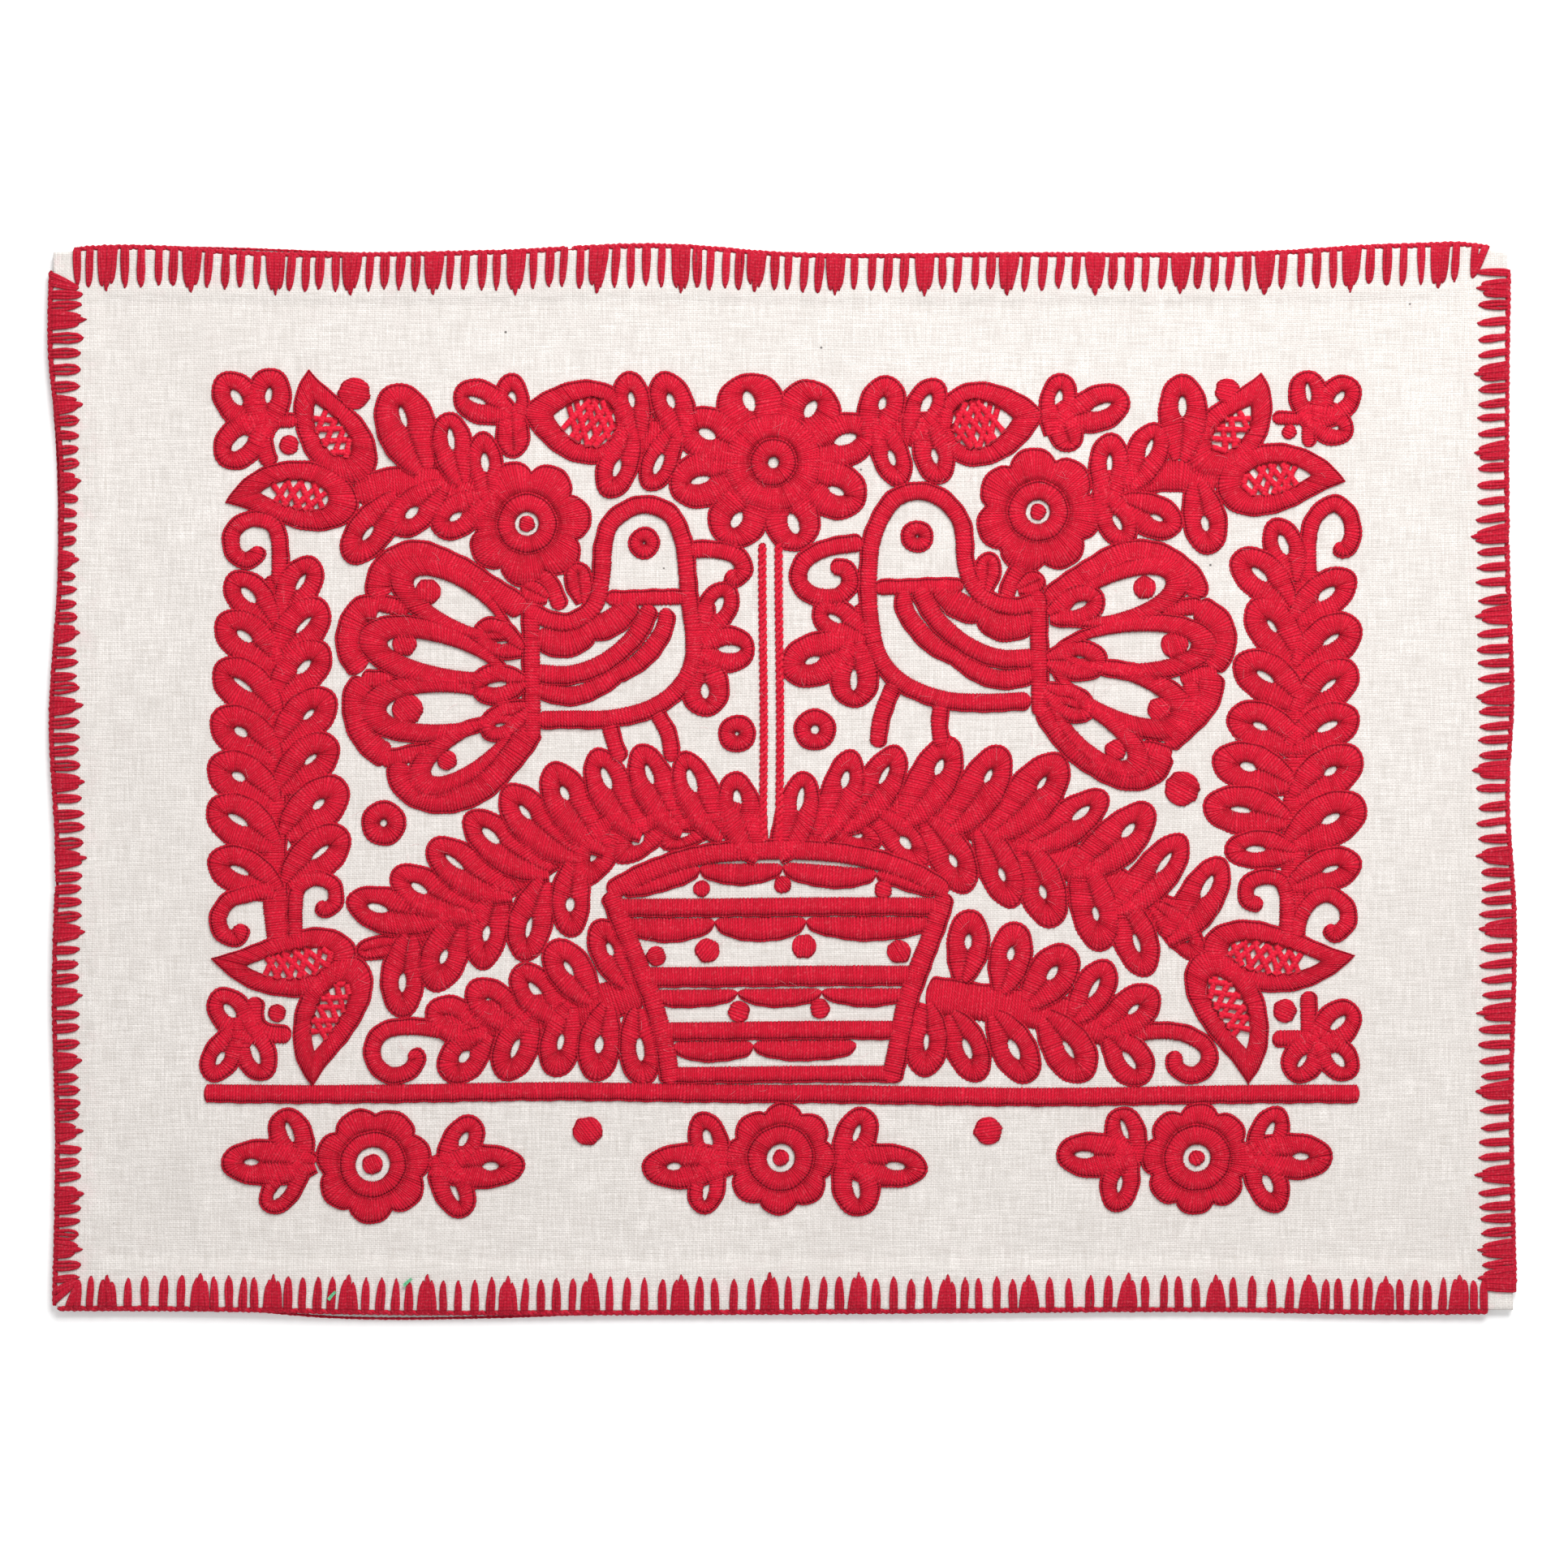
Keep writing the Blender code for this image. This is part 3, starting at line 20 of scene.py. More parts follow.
import bpy
import numpy as np
from numpy.typing import NDArray
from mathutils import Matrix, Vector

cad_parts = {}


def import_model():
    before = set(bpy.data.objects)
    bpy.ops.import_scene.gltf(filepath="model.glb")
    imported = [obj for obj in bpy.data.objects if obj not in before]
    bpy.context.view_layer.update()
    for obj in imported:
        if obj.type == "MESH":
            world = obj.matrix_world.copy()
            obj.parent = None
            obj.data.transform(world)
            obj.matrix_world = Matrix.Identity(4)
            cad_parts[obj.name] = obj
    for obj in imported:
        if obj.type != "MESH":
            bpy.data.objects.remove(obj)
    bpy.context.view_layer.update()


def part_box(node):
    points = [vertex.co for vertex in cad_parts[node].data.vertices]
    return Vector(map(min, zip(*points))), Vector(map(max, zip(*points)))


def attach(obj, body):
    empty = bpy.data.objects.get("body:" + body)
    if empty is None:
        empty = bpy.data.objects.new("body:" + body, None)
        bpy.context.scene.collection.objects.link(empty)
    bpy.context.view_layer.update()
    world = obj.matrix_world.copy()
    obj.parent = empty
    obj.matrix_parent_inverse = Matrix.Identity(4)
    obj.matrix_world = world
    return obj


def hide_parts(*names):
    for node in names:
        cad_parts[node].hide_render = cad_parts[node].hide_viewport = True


LOG = logging.getLogger("pillowcase")
MM = 0.001

Floats = NDArray[np.float64]
Table = Sequence[tuple[float, float]]
Point = tuple[float, float]
Line = Sequence[Point]
Triple = tuple[float, float, float]
Colour = tuple[float, float, float, float]
LeafRow = tuple[float, float, float, float, float]
PaisleyRow = tuple[float, float, float, float, float, float]
Socket = bpy.types.NodeSocket


# Curves and flat shapes


def smooth_table(rows: Table, places: Floats) -> Floats:
    """Cubic through the rows of a table, with each row's slope taken from its neighbours.

    Args:
        rows: Pairs of place and value, in order of place.
        places: Where the curve is read.

    Returns:
        The value at each place.
    """
    at, value = np.array(rows, float).T
    slope = np.gradient(value, at)
    k = np.clip(np.searchsorted(at, places) - 1, 0, len(at) - 2)
    width = at[k + 1] - at[k]
    t = (places - at[k]) / width
    ease = t * t * (3 - 2 * t)
    lean_in = t * (1 - t) ** 2 * width * slope[k]
    lean_out = t * t * (1 - t) * width * slope[k + 1]
    return value[k] + (value[k + 1] - value[k]) * ease + lean_in - lean_out


def smooth_curve(points: Line, count: int = 81) -> Floats:
    """Catmull-Rom curve through the points, read at evenly spaced places.

    Args:
        points: Points that the curve passes through.
        count: How many points are returned.

    Returns:
        The points on the curve, one row each.
    """
    p = np.array(points, float)
    ends = np.concatenate([2 * p[:1] - p[1:2], p, 2 * p[-1:] - p[-2:-1]])
    t = np.linspace(0, 1, 24, endpoint=False)[None, :, None]
    a, b, c, d = (ends[k : len(p) - 1 + k, None, :] for k in range(4))
    square = 2 * a - 5 * b + 4 * c - d
    cube = 3 * b - a - 3 * c + d
    runs = 0.5 * (2 * b + (c - a) * t + square * t**2 + cube * t**3)
    curve = np.concatenate([runs.reshape(-1, 2), p[-1:]])
    along = travelled(curve)
    return read_at(curve, along, np.linspace(0, along[-1], count))


def travelled(curve: Floats) -> Floats:
    """Distance along a curve at each of its points."""
    return np.concatenate([[0], np.cumsum(np.linalg.norm(np.diff(curve, axis=0), axis=1))])


def read_at(curve: Floats, along: Floats, places: Floats) -> Floats:
    """Points of a curve at the given values of its measure.

    Args:
        curve: Points of the curve, one row each.
        along: The measure at each point, rising.
        places: Values at which the curve is read.

    Returns:
        The points, one row for each place.
    """
    return np.stack([np.interp(places, along, column) for column in curve.T], axis=1)


def unit_run(path: Floats) -> Floats:
    """Unit vectors along a path, from the difference of its points' neighbours."""
    run = np.gradient(path, axis=0)
    return run / np.linalg.norm(run, axis=1)[:, None]


def left_of(curve: Floats) -> Floats:
    """Unit vectors to the left of a flat curve's run."""
    run = unit_run(curve)
    return np.stack([-run[:, 1], run[:, 0]], 1)


def direction(heading: float) -> Floats:
    """Unit vector of a heading in degrees."""
    return np.array([np.cos(np.radians(heading)), np.sin(np.radians(heading))])


def set_down(outline: Floats, at: Point, heading: float) -> Floats:
    """Turns an outline drawn along +X to a heading and moves its start to a point.

    Args:
        outline: Points drawn from the origin along +X.
        at: Where the origin goes.
        heading: Direction of +X afterwards, in degrees.

    Returns:
        The moved points.
    """
    ahead = direction(heading)
    aside = np.array([-ahead[1], ahead[0]])
    return outline[:, :1] * ahead + outline[:, 1:] * aside + np.array(at)


def drop(turn: Floats, length: float, width: float, point: float) -> Floats:
    """Teardrop from its point at the origin to its round end at +X.

    x = length (1 - cos turn) / 2, and y follows sin turn times (x / length) to the power of point.

    Args:
        turn: Places round the outline, from 0 to a full turn.
        length: Length along +X.
        width: Full width at the widest place.
        point: 0 for an oval, and more for a sharper start.

    Returns:
        The outline's points.
    """
    share = 0.5 * (1 - np.cos(turn))
    trial = np.linspace(0, np.pi, 200)
    widest = np.max(np.sin(trial) * (0.5 * (1 - np.cos(trial))) ** point)
    return np.stack([length * share, 0.5 * width * np.sin(turn) * share**point / widest], 1)


def bent(outline: Floats, length: float, sag: float) -> Floats:
    """Bends an outline drawn along +X about a parabola that lies sag aside at its far end.

    A point at x, y moves to the parabola at x, and from there by y along the parabola's normal.
    """
    x, y = outline.T
    slope = 2 * sag * x / length**2
    size = np.hypot(slope, 1)
    return np.stack([x - y * slope / size, sag * (x / length) ** 2 + y / size], 1)


def ripple(places: Floats, lengths: Sequence[float], rng: np.random.Generator) -> Floats:
    """Sum of sine waves of the given lengths with random starts, about one unit high."""
    starts = rng.uniform(0, 2 * np.pi, len(lengths))
    waves = [np.sin(2 * np.pi * places / length + start) for length, start in zip(lengths, starts)]
    return np.sum(waves, axis=0) / np.sqrt(len(lengths))


def seeded(name: str) -> np.random.Generator:
    """Random numbers that depend on a piece's name alone."""
    return np.random.default_rng(zlib.crc32(name.encode()))


def hand(number: float, salt: float) -> float:
    """Repeatable value from -1 to 1 for one stitch, from the tail of a large sine."""
    return float(2 * (np.sin(12.9898 * number + 78.233 * salt) * 43758.5453 % 1) - 1)


# Bands of stitches


@dataclass(frozen=True)
class Band:
    """Ribbon of close stitches between two matched rails, with its purl on the outer one."""

    inner: Floats
    outer: Floats
    closed: bool = False
    base: float = 0.0
    tilt: Point = (0.0, 0.0)
    pitch: float = 1.25
    is_satin: bool = False

    def mirrored(self, shift: Point) -> Band:
        """The same band on the other half, moved by a shift."""
        flip, by = np.array([-1.0, 1.0]), np.array(shift)
        return replace(self, inner=self.inner * flip + by, outer=self.outer * flip + by,
                       tilt=(-self.tilt[0], self.tilt[1]))

    def moved(self, move: Callable[[Floats], Floats]) -> Band:
        """The band with both rails passed through a function."""
        return replace(self, inner=move(self.inner), outer=move(self.outer))


def leaf(row: LeafRow, sag: float = 0.0, tail: float = 6.0, share: float = 0.56, base: float = 0.0,
         half_slit: Point = (4.2, 1.85), raised_side: int = 0) -> Band:
    """Leaf whose stitches run from its middle line, and from the slit on it, to its edge.

    The outer rail is a teardrop with its point cut off. The inner rail keeps to the middle line up to the
    slit, goes round the slit as a half ellipse on each side, and comes back.

    Args:
        row: The slit's x and y, the heading there in degrees, the leaf's length without its tail, and
            its width.
        sag: How far the tip bends to the left of the tail's line.
        tail: Length added at the root.
        share: Where the slit lies, as a share of the length without the tail.
        base: How far the whole leaf is raised.
        half_slit: Half length and half width of the slit; no width for a leaf without one.
        raised_side: 1 raises the left flank over its neighbour, -1 the right one.

    Returns:
        The leaf's band.
    """
    x, y, heading, length, width = row
    middle = share * length + tail
    length += tail
    outer = drop(np.linspace(0.62, 2 * np.pi - 0.62, 96), length, width, 0.22)
    half, wide = (size * (1 + 0.25 * hand(x + 3 * y, salt)) for size, salt in zip(half_slit, (1, 2)))
    top = middle + half
    reach = np.minimum(outer[:, 0] / (top * 1.3), 1)
    inner_x = top * (1 - (1 - reach) ** 2)
    gap = wide * np.sqrt(np.clip(1 - ((inner_x - middle) / half) ** 2, 0, 1)) - 0.35
    inner = np.stack([inner_x, gap * np.sign(outer[:, 1])], 1)
    heading -= float(np.degrees(np.arctan(2 * sag * middle / length**2)))
    root = np.array([x, y]) - set_down(np.array([[middle, sag * (middle / length) ** 2]]), (0, 0), heading)[0]
    rails = [set_down(bent(rail, length, sag), (float(root[0]), float(root[1])), heading)
             for rail in (inner, outer)]
    left = 0.05 * raised_side * direction(heading + 90)
    return Band(rails[0], rails[1], False, base, (float(left[0]), float(left[1])))


def leaves(rows: Sequence[LeafRow], sag: float = 0.0, tail: float = 6.0, share: float = 0.56,
           base: float = 0.0, half_slit: Point = (4.2, 1.85)) -> list[Band]:
    """Leaves of one row, each raised on the side that it bends away from, over its neighbour there."""
    return [leaf(row, sag, tail, share, base + 0.03 * (number % 2), half_slit, -int(np.sign(sag)))
            for number, row in enumerate(rows)]


def paisley(row: PaisleyRow, band: float, base: float = 0.0, round_end: float = 0.0, point: float = 0.28,
            open_root: bool = False) -> Band:
    """Teardrop band round an open window.

    Args:
        row: The point's x and y, the heading there in degrees, the length from the point to the round
            end, the full width, and how far the round end bends to the left.
        band: Width of the band.
        base: How far the band is raised.
        round_end: How much wider the band is at the round end.
        point: How sharp the outer rail's point is.
        open_root: Whether the window starts nearer the point, and wider, for a root that is covered.

    Returns:
        The closed band.
    """
    x, y, heading, length, width, sag = row
    turn = np.linspace(0, 2 * np.pi, 120, endpoint=False)
    outer = drop(turn, length, width, point)
    start = band * (0.9 if open_root else 1.7)
    inner = drop(turn, length - start - band - round_end, width - 2 * band, 0.1 if open_root else 0.4)
    inner[:, 0] += start
    rails = [set_down(bent(rail, length, sag), (x, y), heading) for rail in (inner, outer)]
    return Band(rails[0], rails[1], True, base)


def ring(at: Point, inner: float, outer: float, petals: int = 0, depth: float = 0.0, turned: float = 0.0,
         base: float = 0.0) -> Band:
    """Ring of stitches whose outer edge may swell into round petals.

    Args:
        at: Centre.
        inner: Inner radius.
        outer: Outer radius, at the petals' tips.
        petals: Number of petals, or 0 for a plain ring.
        depth: Share of the radius by which the petals' notches fall back.
        turned: Angle of the first notch, in degrees.
        base: How far the ring is raised.

    Returns:
        The closed band.
    """
    turn = np.linspace(0, 2 * np.pi, 24 * max(petals, 5), endpoint=False)
    swell = np.abs(np.sin(petals * (turn - np.radians(turned)) / 2)) ** 0.6
    reach = outer * (1 - depth * (1 - swell) * (petals > 0))
    unit = np.stack([np.cos(turn), np.sin(turn)], 1)
    return Band(np.array(at) + inner * unit, np.array(at) + reach[:, None] * unit, True, base)


def wheel(x: float, y: float, radius: float, hole: float = 0.5, base: float = 0.0) -> Band:
    """Small wheel of stitches about a pinhole."""
    return ring((x, y), hole, radius, base=base)


def pad(x: float, y: float, radius: float, heading: float = 70.0) -> Band:
    """Pad of straight satin stitches across a heading, half widths of a circle made uneven by a sine."""
    run = radius * np.linspace(-0.97, 0.97, 25)
    half = np.sqrt(radius**2 - run**2)[:, None] * direction(heading + 90)
    left, right = (1 + 0.05 * np.sin(1.1 * run + start)[:, None] for start in (x, y))
    middle = np.array([x, y]) + run[:, None] * direction(heading)
    return Band(middle - half * left, middle + half * right, is_satin=True)


def stroke(points: Line, width: float, side: int = 1, scallops: int = 0, deep: float = 0.0,
           base: float = 0.0, rounded: float = 3.6, inward: float = 0.0) -> Band:
    """Band along a curve, purled on one side.

    Args:
        points: Points on its middle line.
        width: Width without the scallops.
        side: 1 for the purl on the left of the curve's run, -1 on the right.
        scallops: Number of swells on the purled edge.
        deep: How far the swells reach out.
        base: How far the band is raised.
        rounded: Length over which each end narrows as a quarter circle does.
        inward: How much wider the band is on the side without the purl.

    Returns:
        The open band.
    """
    span = np.sum(np.linalg.norm(np.diff(np.array(points), axis=0), axis=1))
    curve = smooth_curve(points, max(81, 24 * scallops + 1, int(span)))
    aside = side * left_of(curve)
    places = np.linspace(0, 1, len(curve))
    swell = deep * np.abs(np.sin(np.pi * scallops * places)) ** 0.6
    along = travelled(curve)
    short = 1 - np.clip(np.minimum(along, along[-1] - along) / rounded, 0, 1)
    half = (width / 2 * np.maximum(np.sqrt(1 - short**2), 0.3))[:, None]
    return Band(curve - aside * half * (1 + 2 * inward / width), curve + aside * (half + swell[:, None]),
                False, base)


def window_net(row: PaisleyRow, band: float, spacing: float = 4.9, lean: float = 29.0) -> list[Floats]:
    """Two families of yarns that cross the window of a paisley.

    Each yarn is a straight line at the lean to the window's cross direction, kept where it lies inside
    the window's teardrop, and carried a little under the band at both ends.

    Args:
        row: The paisley's row.
        band: Width of the paisley's band.
        spacing: Distance between the yarns of one family.
        lean: Angle between a yarn and the cross direction, in degrees.

    Returns:
        The two ends of each yarn.
    """
    length, width, sag = row[3:]
    start, long, wide = 1.7 * band, length - 2.7 * band, width - 2 * band
    turn = np.linspace(0, np.pi, 90)
    edge = drop(turn, long, wide, 0.4)
    yarns = []
    for side in (-1, 1):
        for x0 in np.arange(0.3 * long, long + 0.35 * wide, spacing):
            run = np.tan(np.radians(side * lean + 6 * hand(x0, side)))
            y = np.linspace(-wide / 2, wide / 2, 60)
            x = x0 + 0.7 * hand(x0, 3 * side) + y * run
            inside = np.abs(y) < np.interp(x, edge[:, 0], edge[:, 1], left=0, right=0)
            if np.count_nonzero(inside) < 6:
                continue
            ends = np.stack([x[inside][[0, -1]], y[inside][[0, -1]]], 1)
            ahead = (ends[1] - ends[0]) / np.linalg.norm(ends[1] - ends[0])
            ends = ends + np.array([-1.0, 1.0])[:, None] * ahead + np.array([start, 0])
            yarns.append(set_down(bent(ends, length, sag), row[:2], row[2]))
    return yarns


# Meshes


def linked(name: str, data: bpy.types.ID) -> bpy.types.Object:
    """New object over its data, linked to the scene."""
    made = bpy.data.objects.new(name, data)
    bpy.context.scene.collection.objects.link(made)
    return made


@dataclass(frozen=True)
class Tube:
    """Grid of sections along a run, wrapped round each section, with the values painted on it."""

    points: Floats
    closed: bool
    along: Floats
    across: Floats
    tone: Floats
    # Share of painted shade at each point, most in hollows, grooves and under yarns.
    hollow: Floats
    sharp: NDArray[np.bool_]


@dataclass
class MeshParts:
    """Tubes gathered for one mesh."""

    tubes: list[Tube] = field(default_factory=list)

    def add(self, *tubes: Tube) -> None:
        """Adds tubes to the mesh."""
        self.tubes.extend(tubes)

    @staticmethod
    def quads(tube: Tube) -> tuple[NDArray[np.int64], Floats]:
        """Faces between neighbouring sections, and the pattern coordinates of their corners.

        Args:
            tube: The tube, with S sections of J points.

        Returns:
            Point numbers of each face, and the along and across values of each corner.
        """
        sections, around = tube.points.shape[:2]
        runs = sections if tube.closed else sections - 1
        s, j = (grid.ravel() for grid in np.meshgrid(np.arange(runs), np.arange(around), indexing="ij"))
        s_next, j_next = s + 1, j + 1
        corners = ((s, j), (s, j_next), (s_next, j_next), (s_next, j))
        faces = np.stack([(a % sections) * around + b % around for a, b in corners], 1)
        step = tube.along[-1] - tube.along[-2]
        along = np.append(tube.along, tube.along[-1] + step)
        last = 2 * tube.across[:, -1] - tube.across[:, -2]
        across = np.concatenate([tube.across, last[:, None]], 1)
        across = np.concatenate([across, across[:1]], 0)
        uv = np.stack([np.stack([along[a], across[a, b]], 1) for a, b in corners], 1)
        return faces, uv

    def build(self, name: str) -> bpy.types.Object:
        """Makes one closed mesh object of all tubes, with its faces outwards.

        Args:
            name: Name of the object.

        Returns:
            The new object, linked to the scene.
        """
        faces: list[NDArray[np.int64]] = []
        corners: list[Floats] = []
        caps: list[list[int]] = []
        start = 0
        section_of: list[NDArray[np.int64]] = []
        section = 0
        for tube in self.tubes:
            sections, around = tube.points.shape[:2]
            quads, uv = self.quads(tube)
            turned = self.is_inside_out(tube)
            faces.append((quads[:, ::-1] if turned else quads) + start)
            corners.append(uv[:, ::-1] if turned else uv)
            if not tube.closed:
                first = list(range(start, start + around))
                last = [start + (sections - 1) * around + k for k in range(around)]
                caps += [first[::-1], last] if turned else [first, last[::-1]]
            section_of.append(np.repeat(np.arange(sections), around) + section)
            section += sections
            start += sections * around
        points = np.concatenate([tube.points.reshape(-1, 3) for tube in self.tubes]) * MM
        quads = np.concatenate(faces)
        mesh = bpy.data.meshes.new(name)
        mesh.from_pydata(points.tolist(), [], quads.tolist() + caps)
        uv_layer = mesh.uv_layers.new(name="yarn")
        cap_corners = sum(len(cap) for cap in caps)
        flat = np.concatenate([np.concatenate(corners).reshape(-1, 2), np.zeros((cap_corners, 2))])
        uv_layer.uv.foreach_set("vector", flat.ravel().astype(np.float32))
        self.paint(mesh, "tone", np.concatenate([
            np.repeat(tube.tone, tube.points.shape[1]) for tube in self.tubes]))
        # Each point's share of painted shade, which the yarn material turns into a darker colour.
        self.paint(mesh, "hollow", np.concatenate([tube.hollow.ravel() for tube in self.tubes]))
        mesh.polygons.foreach_set("use_smooth", np.ones(len(mesh.polygons), bool))
        self.sharpen(mesh, np.concatenate(section_of), np.concatenate([
            np.repeat(tube.sharp, tube.points.shape[1]) for tube in self.tubes]))
        mesh.update()
        return linked(name, mesh)

    @staticmethod
    def is_inside_out(tube: Tube) -> bool:
        """True if the tube's faces would point inwards, by the volume that they enclose."""
        quads, _ = MeshParts.quads(tube)
        p = tube.points.reshape(-1, 3)
        centre = p.mean(axis=0)
        a, b, c, d = (p[quads[:, k]] - centre for k in range(4))
        volume = np.sum(np.cross(a, b) * c) + np.sum(np.cross(a, c) * d)
        return bool(volume < 0)

    @staticmethod
    def paint(mesh: bpy.types.Mesh, name: str, values: Floats) -> None:
        """Stores one value for each point of a mesh."""
        layer = mesh.attributes.new(name, "FLOAT", "POINT")
        layer.data.foreach_set("value", values.astype(np.float32))

    @staticmethod
    def sharpen(mesh: bpy.types.Mesh, section: NDArray[np.int64], sharp: NDArray[np.bool_]) -> None:
        """Marks the edges that lie in a sharp section, so that the yarns on both sides stay round."""
        pairs = np.empty(len(mesh.edges) * 2, np.int32)
        mesh.edges.foreach_get("vertices", pairs)
        a, b = pairs.reshape(-1, 2).T
        layer = mesh.attributes.new("sharp_edge", "BOOLEAN", "EDGE")
        layer.data.foreach_set("value", sharp[a] & sharp[b] & (section[a] == section[b]))


@dataclass
class Needlework:
    """Close buttonhole stitch: its sizes, and the section that a band has at each stitch."""

    height: float = 1.62
    sunk: float = 0.25
    full_width: float = 4.6
    drift: float = 0.9
    pitch_drift: float = 0.7
    jitter: float = 0.15
    ragged: Point = (0.28, 0.3)
    uneven_rise: float = 0.09
    least_height: float = 0.3
    purl: Triple = (2.0, 1.38, 0.62)
    satin_purl: Triple = (1.1, 0.75, 0.3)
    # Shares of painted shade at a section's places: the rails, the grooves between stitches and the pinholes
    # of the purl are painted darker.
    painted_shade_crest: tuple[float, ...] = (0.95, 0.3, 0.08, 0.0, 0.12, 0.9, 0.0, 0.9)
    painted_shade_groove: tuple[float, ...] = (1.0, 0.82, 0.58, 0.5, 0.66, 1.0, 0.45, 1.0)
    crest: tuple[float, ...] = (0.0, 0.74, 0.93, 1.0, 0.95, 0.6, 0.9, 0.0)
    groove: tuple[float, ...] = (0.0, 0.44, 0.64, 0.72, 0.64, 0.12, 0.62, 0.0)
    satin_crest: tuple[float, ...] = (0.0, 0.7, 0.92, 1.0, 0.95, 0.88, 0.66, 0.0)
    satin_groove: tuple[float, ...] = (0.0, 0.38, 0.6, 0.7, 0.64, 0.55, 0.36, 0.0)

    def tube(self, band: Band, ground: float, rng: np.random.Generator) -> Tube:
        """Turns a band into a ridge and a groove for each stitch.

        A section's places, measured from the inner rail, are 0, just inside it, a fifth, a half, and
        then the pinhole and the purl at fixed distances from the outer rail.

        Args:
            band: The band to stitch.
            ground: Height of the cloth under it.
            rng: Random numbers for the unevenness of hand work.

        Returns:
            The band's tube, with the section's first and last point sunk in the cloth, and painted shade in
            its grooves, pinholes and rails.
        """
        inner, outer = band.inner, band.outer
        if band.closed:
            inner, outer = (np.concatenate([rail, rail[:1]]) for rail in (inner, outer))
        along = travelled(0.35 * inner + 0.65 * outer)
        stitches = max(int(round(along[-1] / band.pitch)), 6)
        sections = 2 * stitches + (0 if band.closed else 1)
        share = np.arange(sections) / (2 * stitches)
        shift = np.clip(rng.normal(0, self.jitter, sections), -0.3, 0.3) / (2 * stitches)
        if not band.closed:
            shift[[0, -1]] = 0
        places = (share + shift) * along[-1]
        ease = np.clip(6 * np.minimum(share, 1 - share), 0, 1)
        places = places + self.pitch_drift * ease * ripple(places, (13.0, 31.0), rng)
        slant = self.drift * ripple(places, (7.0, 19.0), rng)
        slope = ease * (slant + self.jitter * rng.normal(0, 1, sections))
        start, stop = (read_at(rail, along, np.clip(places + part * slope, 0, along[-1]))
                       for part, rail in ((0.6, inner), (-0.4, outer)))
        width = np.linalg.norm(stop - start, axis=1)
        unit = (stop - start) / width[:, None]
        is_crest = np.arange(sections) % 2 == 1
        k = np.clip(width / self.full_width, 0.15, 1)
        uneven = np.where(is_crest, -self.ragged[0] * rng.random(sections), self.ragged[1]) * k
        wobble = (0.2 * ripple(places, (9.0, 23.0), rng) + np.where(is_crest, 0.14, -0.1)) * k
        purl = self.satin_purl if band.is_satin else self.purl
        a = np.stack([uneven, uneven + 0.16 * k, 0.22 * width, 0.5 * width, width - purl[0] * k + wobble / 2,
                      width - purl[1] * k + wobble, width - purl[2] * k + wobble, width + wobble], 1)
        crest = self.satin_crest if band.is_satin else self.crest
        groove = self.satin_groove if band.is_satin else self.groove
        shape = np.where(is_crest[:, None], crest, groove)
        swell = 0.95 + 0.06 * ripple(places, (14.0, 31.0), rng)
        swell = swell * np.where(is_crest, 1 + self.uneven_rise * rng.normal(0, 1, sections), 1)
        swell = swell * np.clip(width / self.full_width, 0.25, 1) ** 0.5
        if not band.closed:
            from_end = np.minimum(places, along[-1] - places)
            swell = swell * np.clip((from_end + 0.5) / 1.4, 0, 1) ** 0.5
        rise = self.height * swell[:, None] * shape
        rise[:, [0, -1]] = -self.sunk
        flat = start[:, None, :] + unit[:, None, :] * a[:, :, None]
        middle = flat.reshape(-1, 2).mean(axis=0)
        tilt = np.clip((flat - middle) @ np.array(band.tilt), -0.5, 0.5)
        lifted = np.where(shape > 0, np.maximum(rise + tilt + band.base, self.least_height), rise)
        z = ground + lifted
        # Crests take a random tone and grooves a slightly lower one, a little painted shade between stitches;
        # the next line sets each point's share of painted shade.
        tone = np.where(is_crest, np.clip(rng.normal(0, 0.5, sections), -1, 1), -0.1)
        hollow = np.where(is_crest[:, None], self.painted_shade_crest, self.painted_shade_groove)
        turns = np.arange(sections) / 2 + 0.3 * rng.random(sections)
        return Tube(np.concatenate([flat, z[:, :, None]], 2), band.closed, turns, a, tone, hollow, ~is_crest)


@dataclass
class Yarn:
    """Plied yarn laid along a path."""

    around: int = 5

    def tube(self, path: Floats, radii: Floats, tone: float = 0.0, dark_ends: bool = False) -> Tube:
        """Round section carried along a path, flattened a little, with its ends closed.

        Args:
            path: Middle line of the yarn, one row for each section.
            radii: Radius at each section.
            tone: How light the yarn is against its neighbours.
            dark_ends: Whether the last section gets painted shade, where the yarn goes into cloth.

        Returns:
            The yarn's tube.
        """
        run = unit_run(path)
        aside = np.stack([-run[:, 1], run[:, 0], np.zeros(len(run))], 1)
        flat = np.linalg.norm(aside, axis=1)[:, None]
        aside = np.where(flat > 1e-6, aside / np.maximum(flat, 1e-6), np.array([1.0, 0.0, 0.0]))
        above = np.cross(run, aside)
        turn = np.linspace(0, 2 * np.pi, self.around, endpoint=False) + np.pi / 2
        circle = aside[:, None] * np.cos(turn)[:, None] + 0.85 * above[:, None] * np.sin(turn)[:, None]
        points = path[:, None] + circle * radii[:, None, None]
        along = travelled(path)
        across = np.tile(along[:, None], (1, self.around))
        # Painted shade: the yarn's underside is painted darker, and a little shade lies over the rest of it.
        low = np.sin(turn)[None, :] < -0.3
        hollow = np.where(low, 0.75, 0.1) * np.ones((len(path), 1))
        if dark_ends:
            hollow[-1] = 0.9
        return Tube(points, False, np.zeros(len(path)), across, np.full(len(path), tone), hollow,
                    np.zeros(len(path), bool))


# Cloth


